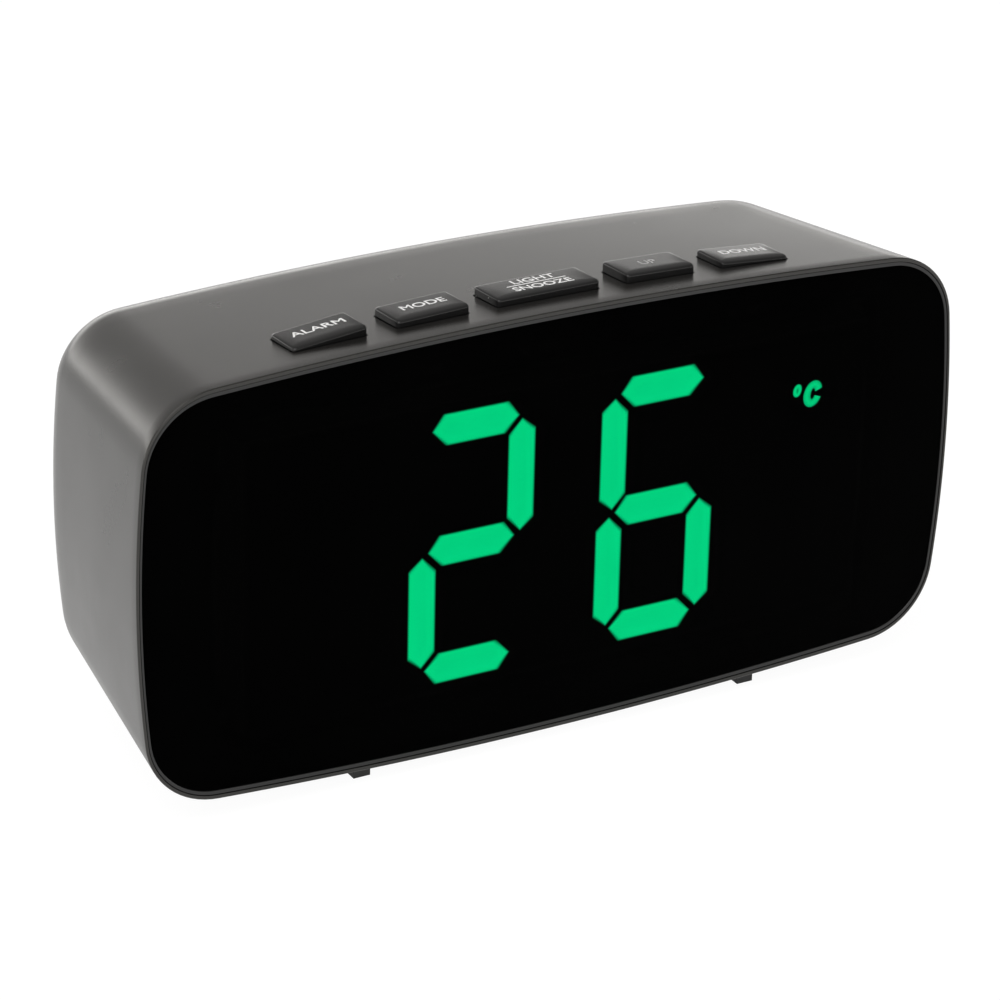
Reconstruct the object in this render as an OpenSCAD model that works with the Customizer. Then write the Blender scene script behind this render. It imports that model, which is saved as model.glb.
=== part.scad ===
/* [Case] */
// Width of the front face
body_w = 160; // [150:1:200]
// Height of the front face
body_h = 78.6; // [76:0.2:100]
// Depth from the front plane to the back face
body_d = 58; // [54:1:80]
// Thickness of the case wall
wall = 2.2; // [1.6:0.1:3]
// Radius of the bowed left and right sides
side_bow_r = 243; // [180:1:600]
// Radius of the bowed top and bottom
top_bow_r = 1016; // [600:1:2000]
// Radius of the four corners of the front face
corner_r = 14; // [11:0.5:18]
// Rounding of the rear edge
rear_r = 13.2; // [8:0.2:14]
// Taper of each side, mm per mm of depth
taper_side = 0.127; // [0.06:0.001:0.14]
// Taper of the top, mm per mm of depth
taper_top = 0.084; // [0.04:0.001:0.1]
// Taper of the bottom, mm per mm of depth
taper_bottom = 0.094; // [0.04:0.001:0.1]

/* [Front] */
// Width of the case lip at the sides of the front
lip_x = 0.5; // [0.4:0.05:0.8]
// Height of the case lip at the top and bottom of the front
lip_z = 0.75; // [0.5:0.05:1]
// Distance from the outline to the lens at the sides
rim_x = 1.1; // [1:0.05:2]
// Distance from the outline to the lens at the top and bottom
rim_z = 1.6; // [1.3:0.05:2.4]
// Thickness of the lens
lens_t = 2; // [1.5:0.1:3]
// How far the lens lies behind the front plane
lens_recess = 0.3; // [0.1:0.05:0.6]
// Depth of the front frame
frame_d = 4.9; // [4.9:0.1:5.6]
// Width of the frame's flange at each side
flange_w = 13; // [12:0.1:13.2]
// Height of the frame's flange at the top and bottom
flange_h = 4.4; // [3.6:0.1:5]

/* [Display] */
// Height of a digit between its outer bars' centres
digit_h = 44.3; // [38:0.1:46]
// Width of a digit between its upright bars' centres
digit_w = 18.4; // [15:0.1:19]
// Height of the level bars
bar_h = 5.65; // [4:0.05:6]
// Width of the upright bars
bar_w = 5.1; // [4:0.05:6]
// Distance between the middle two digits
middle_pitch = 36.7; // [32:0.1:38]
// Distance between the two digits of a pair
pair_pitch = 29.3; // [27:0.1:31]
// Sideways shift of the colon from the middle of the face
colon_x = 1.6; // [-2:0.1:2]
// Height of the digits' centre above the middle of the face
digit_z = -1.5; // [-3:0.1:0]
// Depth of the light box, film to board
box_d = 9; // [7:0.5:12]
// Thickness of the diffuser film
film_t = 0.25; // [0.15:0.05:0.4]

/* [Buttons] */
// Length of the alarm, mode, up and down buttons
button_l = 13.6; // [11:0.1:14]
// Length of the light and snooze button
snooze_l = 19.8; // [15:0.1:20]
// Front to back size of every button
button_w = 8.5; // [6:0.1:9]
// Distance from the front plane to the buttons' front edge
button_y = 7; // [6.8:0.1:9]
// Distance of the mode and up buttons from the middle
inner_x = 22.1; // [21:0.1:24]
// Distance of the alarm and down buttons from the middle
outer_x = 41.3; // [40:0.1:45]
// Height of the middle three buttons above the case
button_rise = 1.7; // [1:0.05:2]
// Height of the alarm and down buttons above the case
outer_rise = 1.25; // [1:0.05:2]
// Fall of the alarm and down buttons' tops towards the sides, mm per mm
outer_fall = 0.07; // [0:0.005:0.1]
// Travel of a button
button_travel = 0.6; // [0.3:0.05:0.7]
// Gap around a button in its window
button_gap = 0.25; // [0.15:0.05:0.35]

/* [Batteries] */
// Diameter of one cell
cell_dia = 10.5; // [9.5:0.1:10.5]
// Length of one cell with its nipple
cell_l = 44.5; // [40:0.1:50]
// Distance between the centres of two cells
cell_pitch = 11.2; // [10.8:0.1:11.2]
// Sideways place of the battery well
well_x = 20; // [18:0.5:24]
// Thickness of the battery door
door_t = 1.8; // [1.4:0.1:2.4]
// How far the door laps over the well on each side
door_lap = 1.5; // [1:0.1:1.6]

/* [Boards] */
// Thickness of the display board and the main board
board_t = 1.6; // [1:0.1:1.6]
// Thickness of the key board
key_board_t = 1.2; // [0.8:0.1:1.6]
// Height of a key switch with its plunger
switch_h = 4.3; // [4:0.1:5]
// Width of the main board
main_w = 47; // [44:1:48]
// Height of the main board
main_h = 37; // [36:0.5:40]
// Radius of the power socket's nose
inlet_r = 3.4; // [3:0.1:4]

/* [Feet] */
// Height of the lowest edge of the case above the surface
foot_h = 2.2; // [1.5:0.1:4]
// Width of a foot rail
foot_w = 3.2; // [2.5:0.1:5]
// Distance of each foot rail from the middle between them
foot_x = 39; // [32:1:45]
// Sideways place of the middle between the foot rails
feet_mid = 2; // [-2:0.1:3]
// Distance from the front plane to the front end of a foot rail
foot_y = 3; // [1.5:0.5:10]

/* [Hidden] */

// Colours
case_grey = "#3b3b3a";
trim_black = "#1c1c1c";
board_green = "#1f5c35";
steel = "#c8c8cc";
white = "#e8e8e4";

// Clearances
fit = 0.08;      // between a piece and the piece that holds it
loose = 0.25;    // around hooks, ribs and boards
run = 0.15;      // between pieces that move past each other

// Screws
screw_r = 1.05;
pilot_r = 1.1;
screw_hole_r = 1.4;
head_r = 2;
head_t = 1.3;
boss_r = 2.7;
drive_slot = [2.2, 0.5, 0.7];
key_screw_l = 5;
display_screw_l = 8.5;
main_screw_l = 7;
pilot_past = 1;  // how far a pilot hole runs past its screw

// Main planes, with y measured from the front plane by y_at()
half_w = body_w / 2;
half_h = body_h / 2;
mid_z = foot_h + half_h;
function y_at(depth) = depth - body_d / 2;

rebate_d = frame_d + 0.1;
lens_back = lens_recess + lens_t;
film_y = lens_back + fit;
box_y = film_y + film_t + fit / 2;
box_base_t = 2;
board_y = box_y + box_d;
board_back = board_y + board_t;

// Points along one quarter of the outline: side, corner and top
side_steps = 3;
corner_steps = 8;
top_steps = 5;

// Centre of the corner circle that touches the side bow and the top bow
function corner_centre(a, b, rs, rt, r) =
    let (p = [a - rs, 0], q = [0, b - rt])
    let (d = norm(q - p), u = (q - p) / d)
    let (s = ((rs - r) ^ 2 - (rt - r) ^ 2 + d ^ 2) / (2 * d))
    let (h = sqrt((rs - r) ^ 2 - s ^ 2))
    p + u * s + [-u.y, u.x] * h;

// One quarter of the bowed outline, from the side's middle to the top's middle
function quarter(ix, iz) =
    let (a = half_w - ix, b = half_h - iz, rs = side_bow_r - ix, rt = top_bow_r - iz)
    let (r = max(corner_r - (ix + iz) / 2, 1))
    let (c = corner_centre(a, b, rs, rt, r))
    let (side_end = atan2(c.y, c.x - a + rs), top_end = atan2(c.y - b + rt, c.x))
    [
        for (i = [0 : side_steps - 1]) let (t = side_end * i / side_steps)
            [a - rs + rs * cos(t), rs * sin(t)],
        for (i = [0 : corner_steps - 1]) let (t = side_end + (top_end - side_end) * i / corner_steps)
            c + r * [cos(t), sin(t)],
        for (i = [0 : top_steps]) let (t = top_end + (90 - top_end) * i / top_steps)
            [rt * cos(t), b - rt + rt * sin(t)]
    ];

// The whole outline, inset by ix at the sides and iz at the top and bottom
function outline(ix, iz) =
    let (q = quarter(ix, iz), n = len(q) - 1)
    [
        for (i = [0 : n - 1]) q[i],
        for (i = [0 : n - 1]) [-q[n - i].x, q[n - i].y],
        for (i = [0 : n - 1]) -q[i],
        for (i = [0 : n - 1]) [q[n - i].x, -q[n - i].y]
    ];

// The outline at a depth, tapered with the case and drawn in by the rear rounding
function ring(depth, ix = 0, iz = 0, drawn_in = 0) =
    let (a = half_w - ix, b = half_h - iz)
    let (sx = (a - taper_side * depth - drawn_in) / a)
    let (up = (b - taper_top * depth - drawn_in) / b)
    let (down = (b - taper_bottom * depth - drawn_in) / b)
    [for (p = outline(ix, iz)) [p.x * sx, y_at(depth), mid_z + p.y * (p.y > 0 ? up : down)]];

// Rings of the rounded rear edge of a skin that ends at back with radius r
function rear_rings(back, r, steps, ix = 0, iz = 0) =
    [for (i = [0 : steps]) let (t = 90 * i / steps)
        ring(back - r + r * sin(t), ix, iz, r * (1 - cos(t)))];

function reversed(list) = [for (i = [len(list) - 1 : -1 : 0]) list[i]];

// Height of the case's outer top and bottom surface at a place
function bow_z(x) = half_h - top_bow_r + sqrt(top_bow_r ^ 2 - x ^ 2);
function top_z(x, depth) = mid_z + bow_z(x) * (half_h - taper_top * depth) / half_h;
function under_z(x, depth) = mid_z - bow_z(x) * (half_h - taper_bottom * depth) / half_h;
function side_x(depth) = half_w - taper_side * depth;

// A rounded rectangle of points with its centre at the origin
function pad_points(l, w, r, n = 4) =
    [for (k = [0 : 3], i = [0 : n]) let (t = 90 * k + 90 * i / n)
        [(k == 0 || k == 3 ? 1 : -1) * (l / 2 - r) + r * cos(t),
         (k < 2 ? 1 : -1) * (w / 2 - r) + r * sin(t)]];

// A slot with nearly half-round ends
function slot_points(w, h) = pad_points(w, h, w / 2 - 0.01);

// Middle of a ring's points
function middle(points) = [for (p = points) 1] * points / len(points);

// Skin through a list of rings with the same number of points, with fanned ends or closed on itself
module loft(rings, closed = false) {
    n = len(rings[0]);
    m = len(rings);
    last = closed ? m - 1 : m - 2;
    sides = [for (j = [0 : last], i = [0 : n - 1])
        let (a = j * n, b = ((j + 1) % m) * n, k = (i + 1) % n)
        each [[a + i, b + i, a + k], [a + k, b + i, b + k]]];
    ends = closed ? [] : [for (i = [0 : n - 1]) let (k = (i + 1) % n)
        each [[i, k, m * n], [(m - 1) * n + k, (m - 1) * n + i, m * n + 1]]];
    points = [for (r = rings) each r, middle(rings[0]), middle(rings[m - 1])];
    polyhedron(closed ? [for (r = rings) each r] : points, concat(sides, ends));
}

module pad(l, w, h, r = 1.5) {
    linear_extrude(h) polygon(pad_points(l, w, r));
}

// Stands a flat drawing up in the plane of the face, running back from a depth
module face_extrude(depth, length) {
    translate([0, y_at(depth), 0])
        rotate([90, 0, 0])
            translate([0, 0, -length])
                linear_extrude(length) children();
}

// A cylinder that runs front to back from one depth to another
module rod(x, z, from, to, r) {
    translate([x, y_at(from), z])
        rotate([-90, 0, 0])
            cylinder(h = to - from, r = r, $fn = 40);
}

// A pan head screw along +Z with its head's underside at the origin
module screw(length) {
    translate([0, 0, -length]) cylinder(h = length + 0.01, r = screw_r, $fn = 24);
    difference() {
        cylinder(h = head_t, r = head_r, $fn = 32);
        for (a = [0, 90])
            rotate([0, 0, a])
                translate([-drive_slot.x / 2, -drive_slot.y / 2, head_t - drive_slot.z])
                    cube(drive_slot);
    }
}

// A thin round wire through points, as one swept skin
module wire(path, r, sides = 8) {
    n = len(path);
    rings = [for (i = [0 : n - 1])
        let (t = path[min(i + 1, n - 1)] - path[max(i - 1, 0)], d = t / norm(t))
        let (ref = abs(d.z) > 0.9 ? [1, 0, 0] : [0, 0, 1])
        let (c = cross(ref, d), u = c / norm(c), v = cross(d, u))
        [for (k = [0 : sides - 1]) let (a = 360 * k / sides) path[i] + r * (u * cos(a) + v * sin(a))]];
    loft(rings);
}

// ---------------------------------------------------------------- display layout

bar_l = digit_w - 1.8;
post_l = digit_h / 2 - 1.45;
bar_point = 2.2;
bar_shoulder = 2.8;
slant = 0.021;
digit_xs = [
    colon_x - middle_pitch / 2 - pair_pitch,
    colon_x - middle_pitch / 2,
    colon_x + middle_pitch / 2,
    colon_x + middle_pitch / 2 + pair_pitch
];
face_z = mid_z + digit_z;
box_edge = 2;
panel_tab = 10.5;
box_w = digit_xs[3] - digit_xs[0] + digit_w + bar_w + 2 * box_edge;
box_h = digit_h + bar_h + 2 * box_edge;
panel_w = box_w + 2 * panel_tab;
mount_x = box_w / 2 + 0.6 * panel_tab;
mount_z = digit_h / 2 - 2;
mount_r = 3;
colon_r = 2.3;
colon_rise = 8.5;
degree_place = [digit_xs[3] - 1.3, 16.3];
degree_r = [1.1, 0.45];
letter_place = [digit_xs[3] + 2.2, 14.7];
letter_r = [2.3, 1.3];
letter_gap = 2;

// A bar with pointed ends, long on its outer edge and short on its inner edge
function bar(l, w) = [
    [-l / 2, 0], [-l / 2 + bar_point, w / 2], [l / 2 - bar_point, w / 2],
    [l / 2, 0], [l / 2 - bar_shoulder, -w / 2], [-l / 2 + bar_shoulder, -w / 2]
];

// Place and turn of the seven bars of a digit: x, z, angle and whether it is a level bar
BARS = [
    [0, digit_h / 2, 0, true], [0, 0, 0, true], [0, -digit_h / 2, 180, true],
    [-digit_w / 2, digit_h / 4, 90, false], [-digit_w / 2, -digit_h / 4, 90, false],
    [digit_w / 2, digit_h / 4, -90, false], [digit_w / 2, -digit_h / 4, -90, false]
];

module digit_bars() {
    for (x = digit_xs, b = BARS)
        translate([x + b[0] + slant * b[1], face_z + b[1]])
            rotate(b[2])
                polygon(b[3] ? bar(bar_l, bar_h) : bar(post_l, bar_w));
}

module colon_dots() {
    for (s = [-1, 1])
        translate([colon_x, face_z + s * colon_rise]) circle(r = colon_r, $fn = 32);
}

// The degree ring and the letter C beside the last digit
module degree_sign() {
    translate([degree_place.x, face_z + degree_place.y]) difference() {
        circle(r = degree_r[0], $fn = 24);
        circle(r = degree_r[1], $fn = 24);
    }
    translate([letter_place.x, face_z + letter_place.y]) difference() {
        circle(r = letter_r[0], $fn = 32);
        circle(r = letter_r[1], $fn = 32);
        translate([letter_r[1] / 2, -letter_gap / 2]) square([letter_r[0], letter_gap]);
    }
}

// ---------------------------------------------------------------- case

contact_room = 7.5;
cell_play = 0.8;
well_w = cell_l + contact_room;
well_h = 2 * cell_pitch + cell_dia + 2;
well_wall = 1.8;
well_d = cell_dia + cell_play;
well_r = 1;
door_r = 2.8;
notch_r = 4;
notch_d = 1.2;
back_z = mid_z + (taper_bottom - taper_top) * body_d / 2;
door_w = well_w + 2 * door_lap;
door_h = well_h + 2 * door_lap;
well_floor = body_d - door_t - well_d;

board_gap = 2.2;
main_x = well_x - well_w / 2 - well_wall - board_gap - main_w / 2;
main_y = 41;
main_back = main_y + board_t;
main_boss_x = main_w / 2 - 3.4;
main_boss_z = main_h / 2 - 3.2;
inlet_x = main_x - 10;
inlet_z = back_z - 8;
buzzer_x = main_x + 9;
buzzer_z = back_z + 6.5;
buzzer_r = 6;
buzzer_h = 8.5;
sound_slots = 5;
sound_pitch = 2.2;
slot_size = [1, 9];
slot_step = 1.4; // how much shorter each slot is than its neighbour
sensor_x = main_x + 3;
sensor_z = back_z - 12;
vent_pitch = 2;
vent_size = [0.9, 4];

button_mid = button_y + button_w / 2;
button_xs = [-outer_x, -inner_x, 0, inner_x, outer_x];
button_ls = [button_l, button_l, snooze_l, button_l, button_l];
button_rises = [outer_rise, button_rise, button_rise, button_rise, outer_rise];
button_slopes = [outer_fall, 0, 0, 0, -outer_fall];
button_bevel = 0.5;
button_r = 0.6;
flange_lap = 1;
flange_t = 1;
stem_r = 1.7;
button_base = wall + run + flange_t;
lowest_flange = top_z(outer_x + button_l / 2 + flange_lap, button_y + button_w + flange_lap)
    - button_base;
plunger_top = lowest_flange - button_travel - loose;
key_top = plunger_top - switch_h;
key_board_end = 10;
key_board_w = 2 * outer_x + button_l + 2 * key_board_end;
key_board_y = 5.6;
key_board_d = button_w + 10;
// behind the display board, so that no screw head stands over it
key_boss = [
    [outer_x + button_l / 2 + 5.4, board_back + head_r + 1],
    [inner_x - 2, key_board_y + key_board_d - boss_r - 0.3]
];

hook_w = 6;
hook_t = 1.4;
hook_end = rebate_d + 4.5;
barb = 0.8;
barb_l = 1.6;
hook_x = half_w - 21;

// The six snap hooks of the front frame, or with a gap the pockets that take them
module hooks(gap = 0) {
    for (x = [-hook_x, hook_x]) {
        hook(x, top_z(x, hook_end) - wall - loose, 1, gap);
        hook(x, under_z(x, hook_end) + wall + loose, -1, gap);
    }
    for (s = [-1, 1])
        side_hook(s, gap);
}

module hook(x, z, up, gap) {
    low = gap > 0 ? hook_end - barb_l - gap : frame_d - 0.5;
    translate([x - hook_w / 2 - gap, y_at(low), z - (up > 0 ? hook_t : 0)])
        cube([hook_w + 2 * gap, hook_end + gap - low, hook_t]);
    translate([x - hook_w / 2 - gap, y_at(hook_end - barb_l - gap), z - (up > 0 ? 0.1 : barb + gap)])
        cube([hook_w + 2 * gap, barb_l + 2 * gap, barb + gap + 0.1]);
}

module side_hook(s, gap) {
    x = side_x(hook_end) - wall - loose;
    low = gap > 0 ? hook_end - barb_l - gap : frame_d - 0.5;
    mirror([s > 0 ? 0 : 1, 0, 0]) {
        translate([x - hook_t, y_at(low), mid_z - hook_w / 2 - gap])
            cube([hook_t, hook_end + gap - low, hook_w + 2 * gap]);
        translate([x - 0.1, y_at(hook_end - barb_l - gap), mid_z - hook_w / 2 - gap])
            cube([barb + gap + 0.1, barb_l + 2 * gap, hook_w + 2 * gap]);
    }
}

module shell() {
    outer = concat([ring(0)], rear_rings(body_d, rear_r, 7));
    inner_r = rear_r - wall;
    inner = concat(
        [ring(0, lip_x, lip_z), ring(rebate_d, lip_x, lip_z), ring(rebate_d, wall, wall)],
        rear_rings(body_d - wall, inner_r, 5, wall, wall)
    );
    loft(concat(reversed(outer), inner));
}

module housing() {
    color(case_grey) difference() {
        union() {
            shell();
            battery_well();
            for (sx = [-1, 1], sz = [-1, 1])
                rod(main_x + sx * main_boss_x, back_z + sz * main_boss_z, main_back + fit,
                    body_d - wall / 2, boss_r);
            for (b = key_boss, s = [-1, 1])
                translate([s * b[0], y_at(b[1]), key_top + fit])
                    cylinder(h = top_z(b[0], b[1]) - wall / 2 - key_top, r = boss_r, $fn = 32);
        }
        button_windows();
        battery_opening();
        back_holes();
        hooks(run);
        rails(fit);
        for (b = key_boss, s = [-1, 1])
            translate([s * b[0], y_at(b[1]), key_top - 1])
                cylinder(h = key_screw_l - key_board_t + 1 + pilot_past, r = pilot_r, $fn = 24);
        for (sx = [-1, 1], sz = [-1, 1])
            rod(main_x + sx * main_boss_x, back_z + sz * main_boss_z, main_y,
                main_y + main_screw_l + pilot_past, pilot_r);
    }
}

module battery_well() {
    face_extrude(well_floor - well_wall, well_wall + well_d + 0.5)
        translate([well_x, back_z])
            polygon(pad_points(well_w + 2 * well_wall, well_h + 2 * well_wall, 2));
}

module battery_opening() {
    face_extrude(well_floor, well_d + 10)
        translate([well_x, back_z]) polygon(pad_points(well_w, well_h, well_r));
    face_extrude(body_d - door_t, 10)
        translate([well_x, back_z]) polygon(pad_points(door_w + 2 * run, door_h + 2 * run, door_r + run));
    // half-round notch for a fingertip beside the door
    rod(well_x - door_w / 2 - 1, back_z, body_d - notch_d, body_d + 5, notch_r);
    // slots where the contact tabs leave the well
    for (z = [-cell_pitch, cell_pitch])
        translate([well_x - well_w / 2 - 3, y_at(well_floor + 3), back_z + z - 1.7])
            cube([4, 2, 3.4]);
}

module button_windows() {
    for (i = [0 : 4])
        translate([button_xs[i], y_at(button_mid), key_top + 6])
            pad(button_ls[i] + 2 * button_gap, button_w + 2 * button_gap, 20, button_r + button_gap);
}

// The openings in the back wall: sound slots, power socket and sensor vents
module back_holes() {
    half = (sound_slots - 1) / 2;
    for (i = [-half : half])
        face_extrude(body_d - wall - 2, 10)
            translate([buzzer_x + sound_pitch * i, buzzer_z])
                polygon(slot_points(slot_size.x, slot_size.y - abs(i) * slot_step));
    for (i = [-1 : 1])
        face_extrude(body_d - wall - 2, 10)
            translate([sensor_x + vent_pitch * i, sensor_z])
                polygon(slot_points(vent_size.x, vent_size.y));
    rod(inlet_x, inlet_z, body_d - wall - 4, body_d + 5, inlet_r + 0.2);
}

// Wedge rails that hold the tapered case level, let into the bottom
module rails(gap = 0) {
    start = foot_y;
    end = body_d - rear_r - 1;
    set_in = lip_z / 2;
    toe = 1.5;
    for (x = [feet_mid - foot_x, feet_mid + foot_x])
        translate([x - foot_w / 2 - gap, 0, 0])
            rotate([90, 0, 90])
                linear_extrude(foot_w + 2 * gap)
                    polygon([
                        [y_at(start - gap), 0],
                        [y_at(end + gap - toe), 0],
                        [y_at(end + gap), toe],
                        [y_at(end + gap), under_z(x, end) + set_in + gap],
                        [y_at(start - gap), under_z(x, start) + set_in + gap]
                    ]);
}

module foot_rails() {
    color(trim_black) rails();
}

module front_frame() {
    outer_x_in = lip_x + fit;
    outer_z_in = lip_z + fit;
    pocket_x = rim_x - fit / 2;
    pocket_z = rim_z - fit / 2;
    front = lens_recess / 2;
    seat = lens_back + 0.02;
    color(trim_black) difference() {
        union() {
            loft([
                ring(frame_d, outer_x_in, outer_z_in),
                ring(front, outer_x_in, outer_z_in),
                ring(front, pocket_x, pocket_z),
                ring(seat, pocket_x, pocket_z),
                ring(seat, rim_x + flange_w, rim_z + flange_h),
                ring(frame_d, rim_x + flange_w, rim_z + flange_h)
            ], closed = true);
            for (sx = [-1, 1], sz = [-1, 1])
                rod(colon_x + sx * mount_x, face_z + sz * mount_z, frame_d - 1,
                    board_y - box_base_t - fit, mount_r);
            hooks();
        }
        for (sx = [-1, 1], sz = [-1, 1])
            rod(colon_x + sx * mount_x, face_z + sz * mount_z, lens_back + 1.2, board_y, pilot_r);
    }
}

module front_lens() {
    color("#0b0b0c") loft([ring(lens_back, rim_x, rim_z), ring(lens_recess, rim_x, rim_z)]);
}

// ---------------------------------------------------------------- buttons

// Ring of a button's outline at a height measured from the case's sloping top
function key_ring(i, grow, h, slope = 0) =
    [for (p = pad_points(button_ls[i] + 2 * grow, button_w + 2 * grow, max(button_r + grow, 0.35)))
        [button_xs[i] + p.x, y_at(button_mid) + p.y,
         top_z(button_xs[i] + p.x, button_mid + p.y) + h + slope * p.x]];

module button(i) {
    rise = button_rises[i];
    slope = button_slopes[i];
    color(trim_black) {
        loft([
            key_ring(i, flange_lap, -button_base),
            key_ring(i, flange_lap, -wall - run),
            key_ring(i, 0, -wall - run),
            key_ring(i, 0, rise - button_bevel, slope),
            key_ring(i, -button_bevel / 2, rise - button_bevel / 4, slope),
            key_ring(i, -button_bevel, rise, slope)
        ]);
        translate([button_xs[i], y_at(button_mid), plunger_top])
            cylinder(h = top_z(button_xs[i], button_mid) - button_base + flange_t / 2 - plunger_top,
                     r = stem_r, $fn = 32);
    }
}

module alarm_button() { button(0); }
module mode_button() { button(1); }
module snooze_button() { button(2); }
module up_button() { button(3); }
module down_button() { button(4); }

plunger_r = 1.6;
plunger_l = 2.2;
switch_body = [6, 6, 3.4];
switch_pin_at = [3.25, 2.25];

module plunger(i) {
    color(trim_black)
        translate([button_xs[i], y_at(button_mid), plunger_top - plunger_l])
            cylinder(h = plunger_l, r = plunger_r, $fn = 32);
}

module alarm_plunger() { plunger(0); }
module mode_plunger() { plunger(1); }
module snooze_plunger() { plunger(2); }
module up_plunger() { plunger(3); }
module down_plunger() { plunger(4); }

module key_switches() {
    pin = [0.7, 0.3, key_board_t + 1];
    color(steel) for (x = button_xs)
        translate([x, y_at(button_mid), key_top]) {
            difference() {
                translate([-switch_body.x / 2, -switch_body.y / 2, fit / 2]) cube(switch_body);
                translate([0, 0, switch_h - plunger_l - button_travel - 0.2])
                    cylinder(h = 5, r = plunger_r + 0.3, $fn = 32);
            }
            for (sx = [-1, 1], sy = [-1, 1])
                translate([sx * switch_pin_at.x - pin.x / 2, sy * switch_pin_at.y - pin.y / 2, -pin.z])
                    cube([pin.x, pin.y, pin.z + 1.2]);
        }
}

module key_board() {
    color(board_green) difference() {
        translate([0, y_at(key_board_y + key_board_d / 2), key_top - key_board_t])
            pad(key_board_w, key_board_d, key_board_t);
        for (b = key_boss, s = [-1, 1])
            translate([s * b[0], y_at(b[1]), key_top - key_board_t - 1])
                cylinder(h = 5, r = screw_hole_r, $fn = 24);
        for (x = button_xs, sx = [-1, 1], sy = [-1, 1])
            translate([x + sx * switch_pin_at.x, y_at(button_mid) + sy * switch_pin_at.y,
                       key_top - key_board_t - 1])
                cylinder(h = 5, r = 0.5, $fn = 16);
    }
}

module key_board_screws() {
    color(steel) for (b = key_boss, s = [-1, 1])
        translate([s * b[0], y_at(b[1]), key_top - key_board_t])
            mirror([0, 0, 1]) screw(key_screw_l);
}

// ---------------------------------------------------------------- display

module light_box() {
    color(white) difference() {
        union() {
            face_extrude(box_y, box_d) translate([colon_x, face_z]) square([box_w, box_h], center = true);
            face_extrude(board_y - box_base_t, box_base_t)
                translate([colon_x, face_z]) polygon(pad_points(panel_w, box_h, 3));
        }
        face_extrude(box_y - 1, box_d + 2) {
            digit_bars();
            colon_dots();
            degree_sign();
        }
        for (sx = [-1, 1], sz = [-1, 1])
            rod(colon_x + sx * mount_x, face_z + sz * mount_z, box_y, board_y + 1, screw_hole_r);
    }
}

module diffuser_film() {
    color("#202020")
        face_extrude(film_y, film_t)
            translate([colon_x, face_z]) square([box_w - 1, box_h - 1], center = true);
}

module display_board() {
    color(board_green) difference() {
        face_extrude(board_y + 0.02, board_t)
            translate([colon_x, face_z]) polygon(pad_points(panel_w, box_h, 3));
        for (sx = [-1, 1], sz = [-1, 1])
            rod(colon_x + sx * mount_x, face_z + sz * mount_z, board_y - 1, board_back + 1, screw_hole_r);
    }
}

module display_screws() {
    color(steel) for (sx = [-1, 1], sz = [-1, 1])
        translate([colon_x + sx * mount_x, y_at(board_back + 0.02), face_z + sz * mount_z])
            rotate([-90, 0, 0]) screw(display_screw_l);
}

// One small lamp on the board's front face
module led(x, z) {
    size = [1.8, 0.75, 1.2];
    translate([x - size.x / 2, y_at(board_y - size.y), z - size.z / 2]) cube(size);
}

module segment_leds() {
    color("#f4f4dc") {
        for (x = digit_xs, b = BARS, s = [-1, 1])
            led(x + b[0] + slant * b[1] + (b[3] ? s * 3.2 : 0), face_z + b[1] + (b[3] ? 0 : s * 3.6));
        for (s = [-1, 1]) led(colon_x, face_z + s * colon_rise);
    }
}

module digit_drivers() {
    color("#151515") for (x = digit_xs)
        translate([x - 1.5, y_at(board_back + 0.02), face_z - 20]) cube([3, 1.1, 1.5]);
}

// ---------------------------------------------------------------- main board

module main_board() {
    color(board_green) difference() {
        face_extrude(main_y, board_t) translate([main_x, back_z]) polygon(pad_points(main_w, main_h, 1.5));
        for (sx = [-1, 1], sz = [-1, 1])
            rod(main_x + sx * main_boss_x, back_z + sz * main_boss_z, main_y - 1, main_back + 1,
                screw_hole_r);
    }
}

module main_board_screws() {
    color(steel) for (sx = [-1, 1], sz = [-1, 1])
        translate([main_x + sx * main_boss_x, y_at(main_y), back_z + sz * main_boss_z])
            rotate([90, 0, 0]) screw(main_screw_l);
}

module controller_chip() {
    body = [13, 2, 7.5];
    color("#121212") {
        translate([main_x - 4 - body.x / 2, y_at(main_y - body.y), back_z - body.z / 2 - 3]) cube(body);
    }
    color(steel) for (i = [0 : 9], s = [-1, 1])
        translate([main_x - 4 - 5.72 + 1.27 * i - 0.2, y_at(main_y - 0.9), back_z - 3 + s * 4.5 - 0.76])
            cube([0.4, 0.9, 1.52]);
}

module quartz_crystal() {
    color(steel) translate([main_x + 8, y_at(main_y - 1.1), back_z - 12])
        rotate([0, 90, 0]) cylinder(h = 6.2, r = 1.05, $fn = 24);
}

module buzzer() {
    color(trim_black) difference() {
        rod(buzzer_x, buzzer_z, main_back + 0.02, main_back + buzzer_h, buzzer_r);
        rod(buzzer_x, buzzer_z, main_back + buzzer_h - 2.5, main_back + buzzer_h + 1, 1);
    }
}

// The nose fills the hole in the back wall and the barrel takes a 3.5 mm plug
inlet_face = body_d - 0.5;
plug_l = 9;
plug_r = 1.85;
module power_socket() {
    color(trim_black) difference() {
        union() {
            translate([inlet_x - 4.2, y_at(main_back + 0.02), inlet_z - 4.2])
                cube([8.4, body_d - wall - main_back - loose, 8.4]);
            rod(inlet_x, inlet_z, body_d - wall - 1, inlet_face, inlet_r);
        }
        rod(inlet_x, inlet_z, inlet_face - plug_l, body_d + 1, plug_r);
    }
}

module socket_pin() {
    color(steel) rod(inlet_x, inlet_z, inlet_face - plug_l, inlet_face - 1, 0.6);
}

module thermistor() {
    bead_y = body_d - wall - 3.4;
    color("#7a3a1c") translate([sensor_x, y_at(bead_y), sensor_z]) sphere(r = 1.3, $fn = 24);
    color(steel) for (s = [-0.6, 0.6]) rod(sensor_x + s, sensor_z, main_back, bead_y, 0.25);
}

module capacitors() {
    color("#26324a") for (p = [[-8, 10], [-15.5, 4]])
        rod(main_x + p[0], back_z + p[1], main_back + 0.02, main_back + 8, 2.9);
}

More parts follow.
